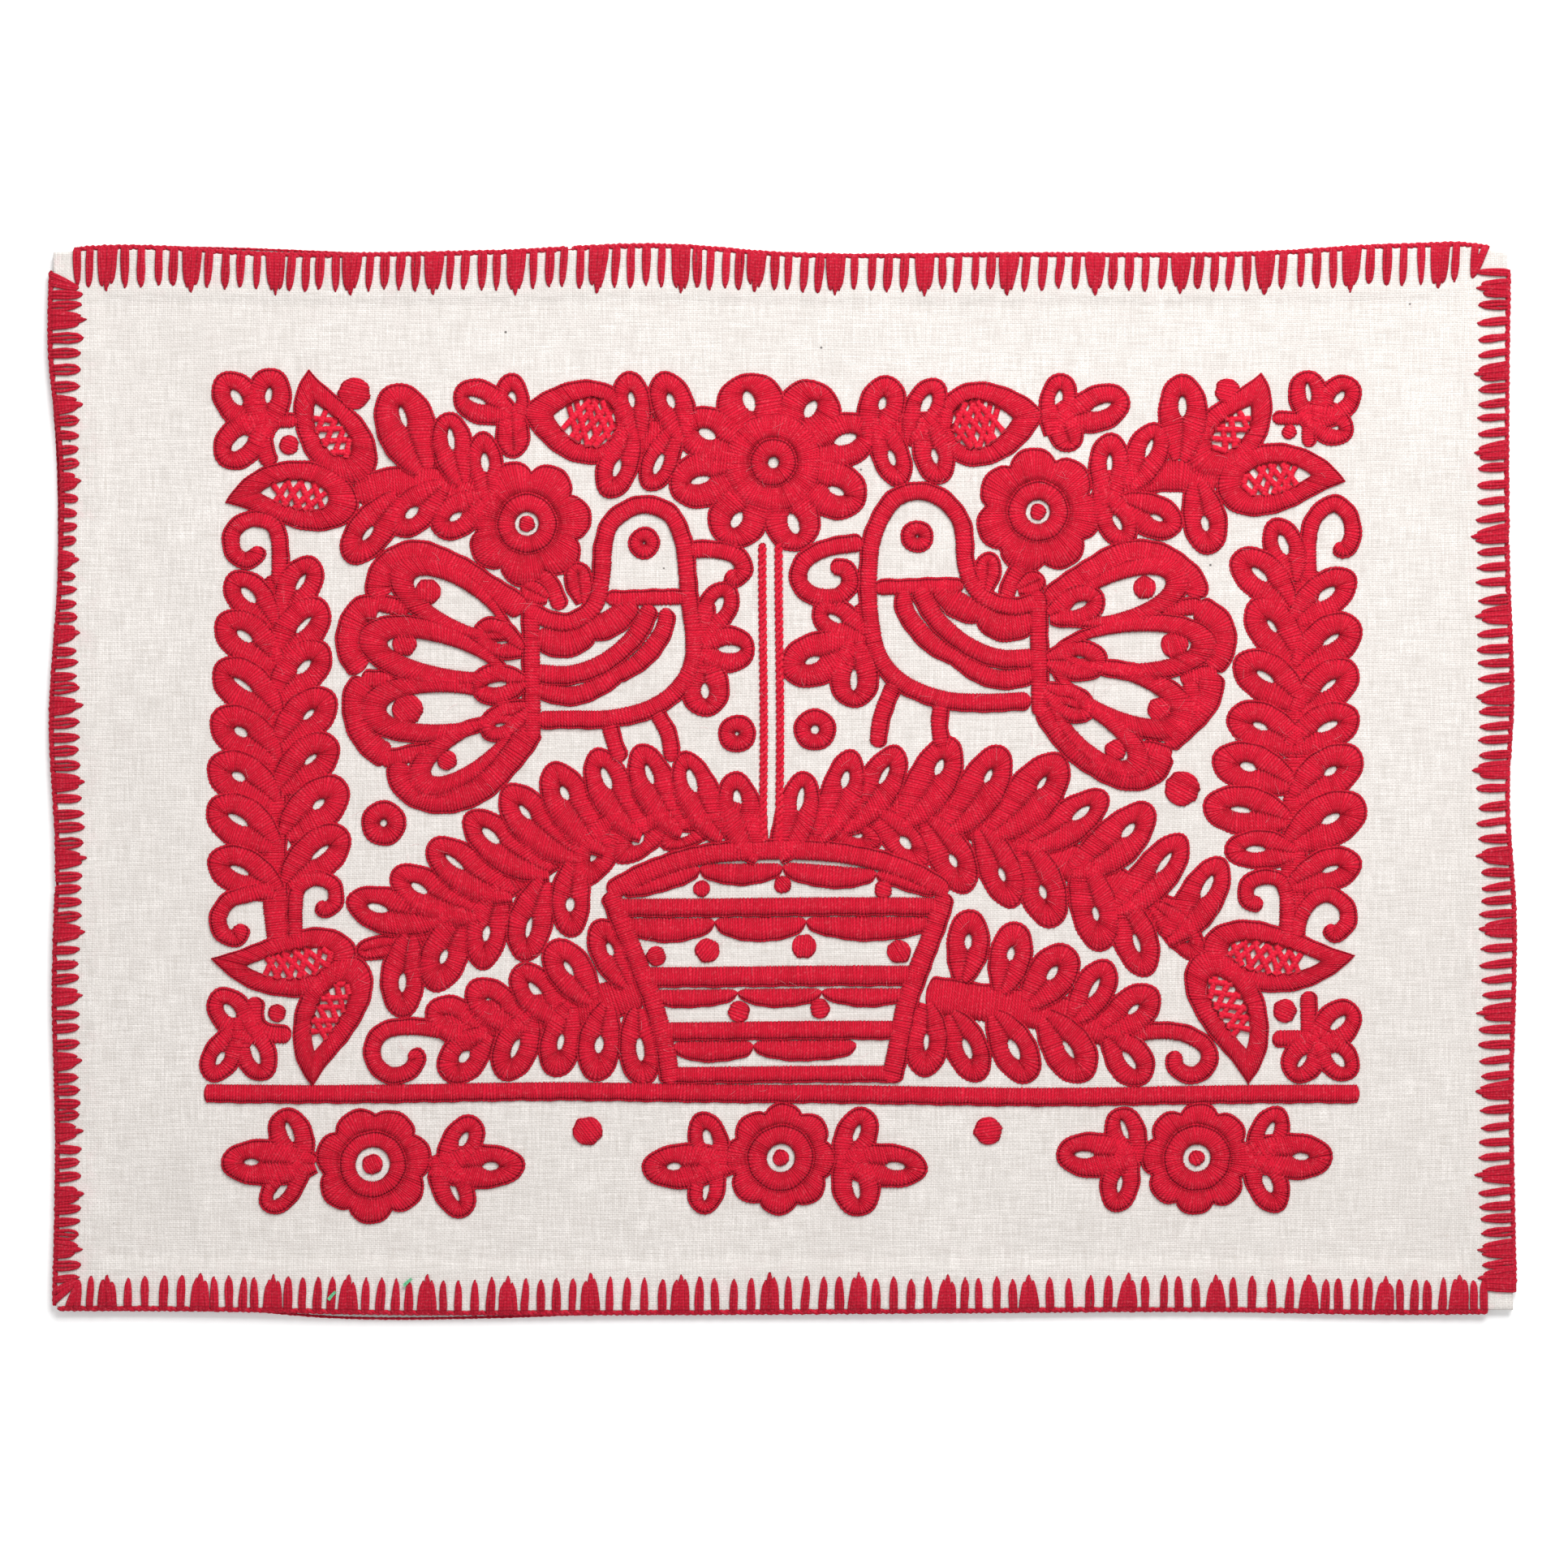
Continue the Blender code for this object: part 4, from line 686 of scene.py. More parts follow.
class Side(Enum):
    """Sides of the pillowcase; the value is the side's number in the tables' order."""

    TOP = 0
    BOTTOM = 1
    LEFT = 2
    RIGHT = 3

    @property
    def is_level(self) -> bool:
        """True for the long sides, which run along X."""
        return self in (Side.TOP, Side.BOTTOM)

    @property
    def sign(self) -> int:
        """1 for the sides at the top and the right, -1 for the others."""
        return 1 if self in (Side.TOP, Side.RIGHT) else -1

    @property
    def word(self) -> str:
        """The side's name in lower case."""
        return self.name.lower()


def by_side(*rows: Any) -> Any:
    """Field with one row for each side, in the order top, bottom, left, right."""
    return field(default_factory=lambda: dict(zip(Side, rows)))


@dataclass
class ClothShape:
    """Where the two sheets lie: their bowed sides, lifted rims and hem."""

    width: float = 672.0
    height: float = 489.0
    hem_width: float = 21.0
    hem_rise: float = 0.5
    hem_step: float = 1.5
    rim_width: float = 43.0
    back_top: float = 1.2
    front_bottom: float = 1.5
    front_top: float = 2.7
    shift: Floats = field(default_factory=lambda: np.zeros(2))
    worked_area: Triple = (262.0, 186.0, 8.0)
    folds: tuple[LeafRow, ...] = (
        (-268, -226, -150, 0.8, 3.4), (-257, -232, -165, -0.5, 3.2), (-296, -120, 60, 0.5, 5.0),
        (-288, 60, 190, -0.45, 4.5), (292, -190, 20, 0.45, 5.5), (299, 20, 160, -0.35, 4.5))
    bows: dict[Side, Table] = by_side(
        ((0, 0), (0.03, 1.4), (0.16, -1.8), (0.3, -0.8), (0.42, 2.2), (0.5, -1.6), (0.66, -1.8), (0.83, -1.2),
         (0.93, 2.4), (0.98, 2.2), (1, -0.6)),
        ((0, -1), (0.12, -0.6), (0.2, 0.6), (0.4, 1), (0.6, 0.2), (0.8, -0.4), (0.92, 0.8), (1, 0.4)),
        ((0, 1.6), (0.09, 2.2), (0.2, -3), (0.3, -2.4), (0.45, 1.8), (0.56, -1), (0.7, 0.4), (0.84, -1),
         (1, 0.2)),
        ((0, -0.8), (0.15, -1.6), (0.3, -1.2), (0.42, 0.6), (0.52, -1.4), (0.62, 1.6), (0.8, 0.4), (1, 2)))
    back_shows: dict[Side, Table] = by_side(
        ((0, 0), (0.08, 0.4), (0.14, 1.8), (0.22, 0.2), (0.6, 0), (1, 0)),
        ((0, 0), (0.13, 0.2), (0.18, 2.2), (0.3, 1.8), (0.37, 0.2), (1, 0)),
        ((0, 0), (0.08, -0.4), (0.2, 1.6), (0.3, 0.6), (0.5, 0), (1, 0)),
        ((0, 0), (1, 0)))
    lifts: dict[Side, Table] = by_side(
        ((0, 0.4), (0.12, 0.1), (0.3, 1.2), (0.5, 0.2), (0.7, 0.9), (0.88, 0.1), (1, 0.8)),
        ((0, 0.6), (0.2, 1.4), (0.4, 0.2), (0.6, 0.8), (0.8, 0.1), (1, 0.7)),
        ((0, 0.4), (0.2, 1.5), (0.4, 0.3), (0.6, 1.1), (0.8, 0.2), (1, 0.6)),
        ((0, 0.8), (0.25, 0.2), (0.5, 0.9), (0.75, 0.1), (1, 0.7)))

    def length(self, side: Side) -> float:
        """Length of a side."""
        return self.width if side.is_level else self.height

    def from_side(self, side: Side, along: Floats, inward: Floats) -> tuple[Floats, Floats]:
        """Flat point from a side's measures.

        Args:
            side: The side.
            along: Distance from its left or top end.
            inward: Distance in from it.

        Returns:
            x and y.
        """
        if side.is_level:
            return along - self.width / 2, side.sign * (self.height / 2 - inward)
        return side.sign * (self.width / 2 - inward), self.height / 2 - along

    def measures(self, side: Side, x: Floats, y: Floats) -> tuple[Floats, Floats]:
        """A flat point's distance along a side, and in from it."""
        if side.is_level:
            return x + self.width / 2, self.height / 2 - side.sign * y
        return self.height / 2 - y, self.width / 2 - side.sign * x

    def share(self, inward: Floats) -> Floats:
        """1 at an edge and beyond it, falling to 0 at the rim's inner line."""
        return np.clip(1 - np.maximum(inward, 0) / self.rim_width, 0, 1) ** 1.5

    def laid(self, x: Floats, y: Floats, is_back: bool = False) -> tuple[Floats, Floats, Floats, Floats]:
        """Where flat points come to lie, in the frame of the solids.

        Each side pushes a point out by its bow, and lifts the front sheet's rim, by the rim's share.

        Args:
            x: Flat x of the points.
            y: Flat y of the points.
            is_back: Whether they are on the back sheet.

        Returns:
            x, y, rim lift, and the hem's share of its rise.
        """
        px, py = x + self.shift[0], y + self.shift[1]
        lift = np.zeros_like(px)
        hem = np.zeros_like(px)
        for side in Side:
            along, inward = self.measures(side, x, y)
            place = np.clip(along / self.length(side), 0, 1)
            out = smooth_table(self.bows[side], place)
            if is_back:
                out = out + smooth_table(self.back_shows[side], place)
            out = out * self.share(inward)
            ox, oy = self.from_side(side, np.zeros(1), -np.ones(1))
            bx, by = self.from_side(side, np.zeros(1), np.zeros(1))
            px, py = px + (ox - bx) * out, py + (oy - by) * out
            lift = lift + smooth_table(self.lifts[side], place) * self.share(inward)
            hem = np.maximum(hem, np.clip((self.hem_width + self.hem_step - inward) / self.hem_step, 0, 1))
        return px, py, lift, hem

    def front_height(self, x: Floats, y: Floats) -> Floats:
        """Height of the front sheet's upper face."""
        _, _, lift, hem = self.laid(x, y)
        return self.front_top + lift + self.hem_rise * hem + self.relief(x, y)

    def relief(self, x: Floats, y: Floats) -> Floats:
        """Soft creases of the front sheet, and the slow waves of its margins.

        Long folds are bell curves across their lines, the waves are products of sines, and finer
        puckers stand beside the embroidered field. All fade out over the field.
        """
        reach_x, reach_y, middle_y = self.worked_area
        margin = np.maximum(np.abs(x) - reach_x, np.abs(y - middle_y) - reach_y)
        fade = np.clip(margin / 18, 0, 1)
        waves = 0.22 * np.sin(x / 17 + 1.4 * np.sin(y / 61)) * np.sin(y / 29 + 0.8)
        waves = waves + 0.16 * np.sin(x / 8.5 + y / 33) * np.sin(y / 12.5 - x / 51)
        pucker = np.sin((x + 0.35 * y) / 2.9 + 1.6 * np.sin(y / 19) + np.sin(x / 41))
        waves = waves + 0.16 * pucker * np.exp(-np.abs(margin) / 45) * (0.5 + 0.5 * np.sin(x / 37 + y / 53))
        folds = np.zeros_like(x)
        for cx, low, high, rise, wide in self.folds:
            ends = np.clip((y - low) / 25, 0, 1) * np.clip((high - y) / 25, 0, 1)
            across = (x - cx - 3 * np.sin(y / 23)) / wide
            folds = folds + rise * np.exp(-across * across) * ends
        return (waves + folds) * fade - 0.02


@dataclass
class Sheets:
    """The front and back sheets of cotton."""

    shape: ClothShape
    front_cell: float = 4.0
    back_cell: float = 9.0

    def lines(self, length: float, cell: float) -> Floats:
        """Places of the grid's lines, with extra ones at the hem's step."""
        edge = self.shape.hem_width
        near = np.array([0, 0.8, 2, 5, 9, 13, 17, edge, edge + self.shape.hem_step, edge + 4])
        count = int(round((length - 2 * near[-1]) / cell))
        return np.concatenate([near[:-1], np.linspace(near[-1], length - near[-1], count + 1),
                               (length - near[:-1])[::-1]])

    def mesh(self, name: str, is_back: bool) -> bpy.types.Object:
        """One sheet as a closed mesh: an upper grid, a lower grid and the wall round them.

        Args:
            name: Name of the object.
            is_back: Whether it is the back sheet.

        Returns:
            The new object, with its dye stain.
        """
        cell = self.back_cell if is_back else self.front_cell
        s, t = np.meshgrid(self.lines(self.shape.width, cell), self.lines(self.shape.height, cell))
        x, y = s - self.shape.width / 2, self.shape.height / 2 - t
        px, py, lift, hem = self.shape.laid(x, y, is_back)
        inward = np.minimum(np.minimum(s, self.shape.width - s), np.minimum(t, self.shape.height - t))
        round_off = 0.35 * np.clip(1 - inward / 0.8, 0, 1)
        if is_back:
            low, high = np.zeros_like(px), np.full_like(px, self.shape.back_top)
        else:
            relief = self.shape.relief(x, y)
            low = self.shape.front_bottom + lift + np.maximum(relief, 0)
            high = self.shape.front_top + lift + self.shape.hem_rise * hem + relief
        rows, columns = px.shape
        lower, upper = np.stack([px, py, low + round_off], 2), np.stack([px, py, high - round_off], 2)
        points = np.concatenate([lower.reshape(-1, 3), upper.reshape(-1, 3)]) * MM
        j, i = (grid.ravel() for grid in np.meshgrid(np.arange(rows - 1), np.arange(columns - 1),
                                                     indexing="ij"))
        corner = j * columns + i
        bottom = np.stack([corner, corner + 1, corner + columns + 1, corner + columns], 1)
        size = rows * columns
        top = bottom[:, ::-1] + size
        rim = np.concatenate([np.arange(columns - 1), np.arange(rows - 1) * columns + columns - 1,
                              (rows - 1) * columns + np.arange(columns - 1, 0, -1),
                              np.arange(rows - 1, 0, -1) * columns])
        after = np.roll(rim, -1)
        wall = np.stack([rim, rim + size, after + size, after], 1)
        mesh = bpy.data.meshes.new(name)
        mesh.from_pydata(points.tolist(), [], np.concatenate([bottom, top, wall]).tolist())
        dye = np.clip(1 - (inward - 2) / 17, 0, 1) * 0.9 + 0.1 * np.clip(1 - inward / 60, 0, 1)
        MeshParts.paint(mesh, "dye", np.tile(dye.ravel(), 2))
        mesh.polygons.foreach_set("use_smooth", np.ones(len(mesh.polygons), bool))
        mesh.update()
        return linked(name, mesh)


# Motifs. A leaf's row gives its slit's x and y, its heading in degrees, its length and its width.


@dataclass
class Drawing:
    """Names of the solids with the bands and yarns that are worked over each."""

    bands: dict[str, list[Band]] = field(default_factory=dict)
    yarns: dict[str, list[Floats]] = field(default_factory=dict)

    def put(self, name: str, bands: Iterable[Band], yarns: Iterable[Floats] = ()) -> None:
        """Adds bands and yarns to one solid."""
        self.bands.setdefault(name, []).extend(bands)
        self.yarns.setdefault(name, []).extend(yarns)

    def put_both(self, name: str, bands: Sequence[Band], yarns: Sequence[Floats] = (),
                 shift: Point = (0.0, 0.0)) -> None:
        """Adds bands and yarns to a solid of the left half, and mirrored, shifted ones to its twin."""
        self.put(name + "_left", bands, yarns)
        flip, by = np.array([-1.0, 1.0]), np.array(shift)
        self.put(name + "_right", [band.mirrored(shift) for band in bands],
                 [yarn * flip + by for yarn in yarns])


@dataclass
class SideSprays:
    """Upright sprays beside the birds, with a curl at the head and two at the foot of each."""

    left_outer: tuple[LeafRow, ...] = (
        (-247, 86, 133, 29, 21), (-249, 67, 143, 33, 24), (-250, 45, 143, 34, 24.5), (-251, 23, 147, 34, 25),
        (-252, 2, 150, 34, 25), (-252, -18, 150, 34, 25), (-251, -41, 155, 34, 23))
    left_inner: tuple[LeafRow, ...] = (
        (-223, 92, 58, 29, 21), (-222, 72, 45, 33, 24), (-222, 53, 42, 33, 23.5), (-220, 31, 42, 34, 24),
        (-219, 10, 40, 34, 24), (-215, -11, 38, 36, 25), (-214, -33, 38, 36, 24))
    right_inner: tuple[LeafRow, ...] = (
        (232, 109, 112, 28, 20), (221, 95, 138, 34, 23), (226.5, 71, 128, 34, 24), (223, 48, 147, 35, 24),
        (220.5, 25, 157, 35, 24), (215, 6, 162, 37, 24), (212, -14, 172, 38, 24), (219, -32, 180, 31, 19))
    right_outer: tuple[LeafRow, ...] = (
        (252, 86, 36, 36, 22), (254, 65, 33, 35, 24), (252.5, 44, 38, 36, 23), (252, 25, 25, 35, 23),
        (253.5, 4, 33, 37, 25), (254, -18, 26, 39, 26), (254, -41, 18, 33, 21))

    def draw(self, drawing: Drawing) -> None:
        """Adds both sprays' bands."""
        for word, side, first, second, stem, head, foot, toe in (
                ("left", -1, self.left_outer, self.left_inner,
                 [(-233, 96), (-236, 50), (-236, 0), (-235, -45), (-232, -76)],
                 [(-232.5, 90), (-232.5, 110), (-236, 119.5), (-246, 122), (-254, 116.5), (-254.5, 107),
                  (-249, 102), (-243.5, 104.5), (-242.5, 109)],
                 [(-235, -48), (-246, -51.5), (-256, -54.5), (-261, -63), (-258.5, -71), (-252, -72.5),
                  (-249.5, -66)],
                 [(-226, -74), (-226, -58), (-224, -48.5), (-216, -44.5), (-207.5, -48), (-206.5, -56),
                  (-211.5, -59.5), (-215, -56)]),
                ("right", 1, self.right_inner, self.right_outer,
                 [(244, 98), (240, 60), (238, 0), (237, -40), (236, -76)],
                 [(243.5, 92), (243.5, 112), (247, 123), (255.5, 128.5), (263, 123), (264.5, 113),
                  (260.5, 106.5), (256, 109)],
                 [(237, -73), (240, -62), (246, -54.5), (254, -52.5), (261.5, -58), (262, -66),
                  (256, -71.5), (252.5, -67)],
                 [(234, -76), (234.5, -58), (231, -46.5), (222, -44.5), (215, -48.5), (215.5, -56),
                  (222.5, -57.5)])):
            curls = [stroke(head, 8.5, side, base=0.15), stroke(foot, 8.5, side, base=0.1),
                     stroke(toe, 8, -side, base=0.2)]
            drawing.put("side_spray_" + word, [stroke(stem, 13, base=-0.35)] + leaves(first, 9)
                        + leaves(second, -8) + curls)


@dataclass
class Corners:
    """Clovers, paisleys with a net in their windows, and a dot beside each clover."""

    band: float = 9.8
    paisleys: tuple[tuple[str, tuple[PaisleyRow, ...]], ...] = (
        ("top_left", ((-220, 191, -92, 49, 31, 32), (-258, 129, 28, 52, 32, -33))),
        ("top_right", ((221, 189, 265, 47, 31, -29), (261, 138.5, 163, 55, 33, 24))),
        ("bottom_left", ((-264.5, -82, -19, 62, 32, 27), (-218, -141.5, 98, 54, 31, -33))),
        ("bottom_right", ((265.5, -81, 197, 65, 33, -28), (215, -141, 84, 57, 32, 31))))

    def draw(self, drawing: Drawing) -> None:
        """Adds the bands of all four corners, with the yarns in the paisleys' windows."""
        for word, rows in self.paisleys:
            for number, row in enumerate(rows):
                drawing.put("paisleys_" + word, [paisley(row, self.band, 0.14 * number, point=0.5)],
                            window_net(row, self.band))
        drawing.put("clover_top_left", leaves((
            (-253, 177.5, 124, 31, 22), (-238.5, 178.5, 80, 30, 22), (-251.5, 156.5, 224, 31, 23))) + [
                stroke([(-240.5, 171), (-240.5, 157), (-237, 146)], 9, base=-0.1),
                stroke([(-246, 167), (-225, 167)], 7.5, base=-0.15), pad(-229, 155.5, 4.6)])
        drawing.put("clover_top_right", leaves((
            (243, 179, 98, 25, 20), (257.5, 177, 48, 27, 20), (254, 164, 335, 25, 19))) + [
                stroke([(226, 167.5), (246, 167.5)], 7, base=-0.1),
                stroke([(243.5, 171), (243.5, 154)], 7.5, base=-0.15), pad(234, 161, 3.6)])
        drawing.put("clover_bottom_left", leaves((
            (-256, -106.5, 130, 28, 20), (-260.5, -128, 238, 28, 18), (-244.5, -126, 292, 30, 20))) + [
                stroke([(-244.5, -100), (-244, -112), (-237, -116.5), (-228, -117)], 9, base=-0.1),
                pad(-234.5, -107.5, 4.2)])
        drawing.put("clover_bottom_right", leaves((
            (257, -112.5, 42, 28, 21), (257, -129, 312, 26, 19), (240, -130, 232, 24, 21))) + [
                stroke([(243.5, -98), (243.5, -120)], 8.5, base=-0.1),
                stroke([(226, -120), (248, -120)], 8.5, -1, base=-0.15), pad(232, -107, 5.6)])


@dataclass
class Garland:
    """Sprays, sprouts, net-filled leaves and rosettes along the top of the field."""

    @staticmethod
    def rosette(at: Point, turned: float) -> list[Band]:
        """Seven petals about a ring and a pad, with the first notch at an angle in degrees."""
        return [ring(at, 14, 30, 7, 0.2, turned), ring(at, 5.4, 14.8, base=0.2), pad(*at, 3.9)]

    def draw(self, drawing: Drawing) -> None:
        """Adds the garland's bands."""
        for word, sag, stem, tall, low in (
                ("left", -7, [(-198, 134), (-180, 138), (-160, 138), (-142, 133)],
                 ((-176, 168, 107, 48, 28), (-154, 157.5, 100, 38, 20)),
                 ((-138, 147, 97, 33, 18), (-171.5, 124, 222, 31, 21), (-151.5, 122, 214, 29, 21),
                  (-191.5, 114.5, 232, 38, 22))),
                ("right", 7, [(201, 138), (182, 141), (160, 139), (144, 134)],
                 ((185, 173, 92, 45, 24), (169.5, 154, 68, 36, 21)),
                 ((151, 147, 90, 33, 20), (155, 120, 300, 28, 20), (173.5, 122, 335, 30, 21),
                  (196, 119, 282, 34, 21)))):
            drawing.put("top_spray_" + word, [stroke(stem, 15, base=-0.3)] + leaves(tall, sag, 0, 0.67)
                        + leaves(low, base=0.1))
        for word, bud, pair in (
                ("left", (-125, 158, 275, 21, 17), ((-142, 175.5, 160, 27, 21), (-125.5, 176.5, 92, 28, 17))),
                ("right", (131, 161, 290, 21, 17), ((147, 173, 20, 32, 22), (127.5, 177, 80, 28, 18)))):
            drawing.put("sprout_" + word, leaves((bud,), half_slit=(4.0, 0.0)) + leaves(pair))
        almond = (-121, 171, -9, 52, 39.5, 0)
        drawing.put_both("paisley_long", [paisley(almond, 8.8)], window_net(almond, 8.8), (0, -1))
        for word, stem, rows in (
                ("left", [(-75, 161), (-66, 160), (-56, 160), (-44, 164)],
                 ((-70.5, 176.5, 100, 31, 19), (-52, 176, 110, 33, 21), (-77, 145, 250, 33, 20),
                  (-57.5, 147, 245, 31, 18))),
                ("right", [(42, 163), (54, 163), (65, 162), (75, 162)],
                 ((46, 174, 75, 31, 22), (66, 174, 65, 30, 19), (50.5, 149, 290, 32, 18),
                  (70, 150, 285, 30, 20)))):
            drawing.put("flower_spray_" + word, [stroke(stem, 17, base=-0.3)] + leaves(rows, base=0.25))
        for word, at, turned in (("left", (-118.0, 119.0), 34), ("right", (118.5, 125.0), 20)):
            drawing.put("rosette_" + word, self.rosette(at, turned))


@dataclass(frozen=True)
class FanTail:
    """Fan tail of a bird.

    The lobes along its outside and the wedges between them are middle lines. A feather has its root's x
    and y, heading, length, width and band, and an eye its x, y and radius. The roots are small leaves.
    """

    lobes: tuple[Line, ...]
    feathers: tuple[PaisleyRow, ...]
    eyes: tuple[Triple, ...]
    roots: tuple[LeafRow, ...]
    wedges: tuple[Line, ...]
    side: int

    def bands(self) -> list[Band]:
        """The tail's bands, from the wedges up to the leaves over the feathers' roots."""
        bands = [stroke(wedge, 9, self.side, base=-0.1) for wedge in self.wedges]
        bands += [stroke(lobe, 9.4, self.side, base=0.05 * (k % 2), inward=3.3)
                  for k, lobe in enumerate(self.lobes)]
        for k, (*row, band) in enumerate(self.feathers):
            bands.append(paisley((*row, 0), band, 0.22 + 0.12 * (k % 2), 4.4, 0.2, True))
        bands += [pad(*eye, 20 * k) for k, eye in enumerate(self.eyes)]
        return bands + leaves(self.roots, tail=4, share=0.5, base=0.5)


@dataclass
class Birds:
    """Birds that face the middle: body, wing, fan tail, eye, legs and the sprouts about them."""

    band: float = 9.0
    left_tail: FanTail = FanTail(
        lobes=(
            ((-118, 80), (-134, 90), (-152, 101), (-170, 107), (-183, 101.5), (-188.5, 91), (-187, 83)),
            ((-187, 82), (-196, 80), (-201.5, 71.5), (-202, 60), (-196.5, 49.5)),
            ((-195, 48), (-200, 38), (-198, 25), (-191, 14), (-183, 9)),
            ((-179, 8), (-178.5, 0), (-170.5, -8.5), (-158, -11.5), (-141, -7), (-126, 7), (-114, 24))),
        feathers=(
            (-124, 66, 150, 66, 31, 8.4), (-126, 49.5, 166, 73, 31, 10.2), (-124, 34, 181, 73, 33, 9.2),
            (-122, 30, 214, 62, 28, 8.4)),
        eyes=((-164, 87, 6.0), (-175, 63, 5.7), (-174, 33, 7.2), (-156, 9, 4.8)),
        roots=((-132, 65.5, 155, 25, 19), (-132.5, 44.5, 186, 26, 20), (-129.5, 27.5, 212, 25, 18)),
        wedges=(((-172, 79), (-190, 83)), ((-180, 47), (-195, 47.5)), ((-163, 14), (-187, 9.5))),
        side=-1)
    right_tail: FanTail = FanTail(
        lobes=(
            ((122, 84.5), (143, 99.5), (159.5, 107.5), (175, 106), (187, 98.6), (192.8, 90.2), (192, 84)),
            ((192.8, 82), (203, 74.5), (206, 65.3), (203.5, 56.9), (199.3, 51)),
            ((200.5, 49.5), (198.7, 38.4), (192.4, 29.2), (184, 21), (178, 16)),
            ((178, 12.5), (172.8, 3.3), (162.8, -0.6), (150.3, 2.7), (136.4, 11.6), (126.2, 22.7),
             (119.5, 34))),
        feathers=(
            (126, 75.5, 18, 67, 31, 8.4), (124, 60, 2.5, 78, 31, 8.4), (124, 52.5, -21, 73, 33, 9.4),
            (122, 40, -39, 60, 27, 8.4)),
        eyes=((167.8, 89.3, 5.5), (181.7, 63, 6.6), (174.3, 33.4, 5.9), (153.6, 14.4, 5.2)),
        roots=((136.4, 81, 20, 27, 20), (136.4, 56, 0, 28, 20), (132.7, 36.6, -28, 25, 18)),
        wedges=(
            ((176, 79.5), (195, 81)), ((184, 47.5), (201, 50.5)), ((189, 47), (191, 30)),
            ((165, 16), (180, 12))),
        side=1)

    @staticmethod
    def neck() -> list[Band]:
        """Sprouts behind the left bird's neck."""
        bands = leaves(((-94, 92, 97, 20, 14), (-115, 87, 155, 13, 13)), tail=3, share=0.5,
                       half_slit=(4.0, 0.0))
        return bands + [stroke([(-111, 97), (-106, 90), (-102, 79)], 8.5, base=-0.1)]

    @staticmethod
    def wing() -> list[Band]:
        """Scalloped bands of the left bird's wing."""
        return [stroke([(-114, 66), (-99, 65), (-87, 70.5), (-76, 77), (-69, 84)], 10, -1, 2, 3.2),
                stroke([(-115, 42), (-97, 40.5), (-82, 46.5), (-67, 56), (-56, 69), (-53, 80)], 7.5, -1, 2,
                       2.0),
                stroke([(-115, 49.5), (-98, 49), (-82, 55), (-68, 67), (-60, 81)], 9.5, -1, base=0.15)]

    def left_body(self) -> list[Band]:
        """Outline, collar, curled beak and legs of the left bird."""
        outline = [(-119, 79.5), (-106, 74), (-96, 74.5), (-87, 82), (-84, 96), (-83, 110), (-79, 121),
                   (-66, 128.5), (-52, 124.5), (-45.5, 112), (-43.5, 98), (-42.5, 84), (-40.5, 68),
                   (-41.5, 54), (-49, 42), (-62, 33.5), (-80, 29), (-98, 28.5), (-114, 28)]
        return [stroke([(-81, 28), (-78.5, 19), (-75, 9)], 8.5, base=-0.1),
                stroke([(-59, 33), (-53, 22), (-51, 9)], 8.5, base=-0.1),
                stroke([(-43, 107.5), (-31, 107.5), (-21, 104.5), (-17.5, 98), (-21.5, 93.5),
                        (-25.5, 96.5)], 9, base=0.1),
                stroke([(-82, 84.5), (-44, 85.5)], 8),
                stroke([(-116.5, 83), (-116.5, 50), (-116.5, 19)], self.band, -1, base=0.25),
                stroke(outline, self.band, base=0.3)]

    def right_body(self) -> list[Band]:
        """Outline, collar, curled beak and legs of the right bird."""
        outline = [(119.7, 84.5), (110, 81), (101, 82), (92.5, 86), (87.4, 93), (85, 102), (84.5, 111),
                   (82.5, 121), (75, 130), (64, 134.3), (53, 131.5), (46, 123), (41.5, 111), (40, 98),
                   (39.8, 84), (41, 70), (43.5, 59), (49.5, 49.5), (60, 42), (76, 37), (95, 36.3),
                   (115, 37.5)]
        return [stroke([(52, 45.5), (45.7, 29), (44, 15)], 8.5, base=-0.1),
                stroke([(73.5, 38), (72.2, 27), (73.5, 15)], 8.5, base=-0.1),
                stroke([(38, 110.3), (20, 107.5), (9.5, 101), (7.5, 91.5), (14.5, 85), (26, 84.5), (32, 91),
                        (29.5, 98), (22.5, 98.5)], 9, -1, base=0.15),
                stroke([(84, 90.5), (43, 89)], 8, -1),
                stroke([(119.2, 88), (119.2, 60), (119.5, 30)], self.band, base=0.25),
                stroke(outline, self.band, -1, base=0.3)]

    def draw(self, drawing: Drawing) -> None:
        """Adds both birds' bands."""
        drawing.put("bird_tail_left", self.left_tail.bands())
        drawing.put("bird_tail_right", self.right_tail.bands())
        drawing.put_both("bird", self.neck(), shift=(1.0, 4.5))
        drawing.put_both("bird", self.wing(), shift=(2.5, 7.5))
        drawing.put("bird_left", self.left_body())
        drawing.put("bird_right", self.right_body())
        drawing.put_both("bird_eye", [wheel(-64, 110.5, 7.8)], shift=(-1.5, 2.5))
        sprig = leaves(((-29.5, 81, 62, 28, 19), (-24.5, 61, 0, 27, 22), (-36, 42, 272, 28, 23)))
        drawing.put("breast_sprig_left", sprig + [stroke([(-35, 84), (-35, 66), (-36, 50)], 9, base=-0.3)])
        sprig = leaves(((24.5, 74.5, 150, 27, 20), (13.5, 55.5, 200, 36, 25), (33, 46.5, 268, 30, 24)))
        drawing.put("breast_sprig_right", sprig + [stroke([(38, 82), (37, 66), (37, 54)], 9, base=-0.3)])


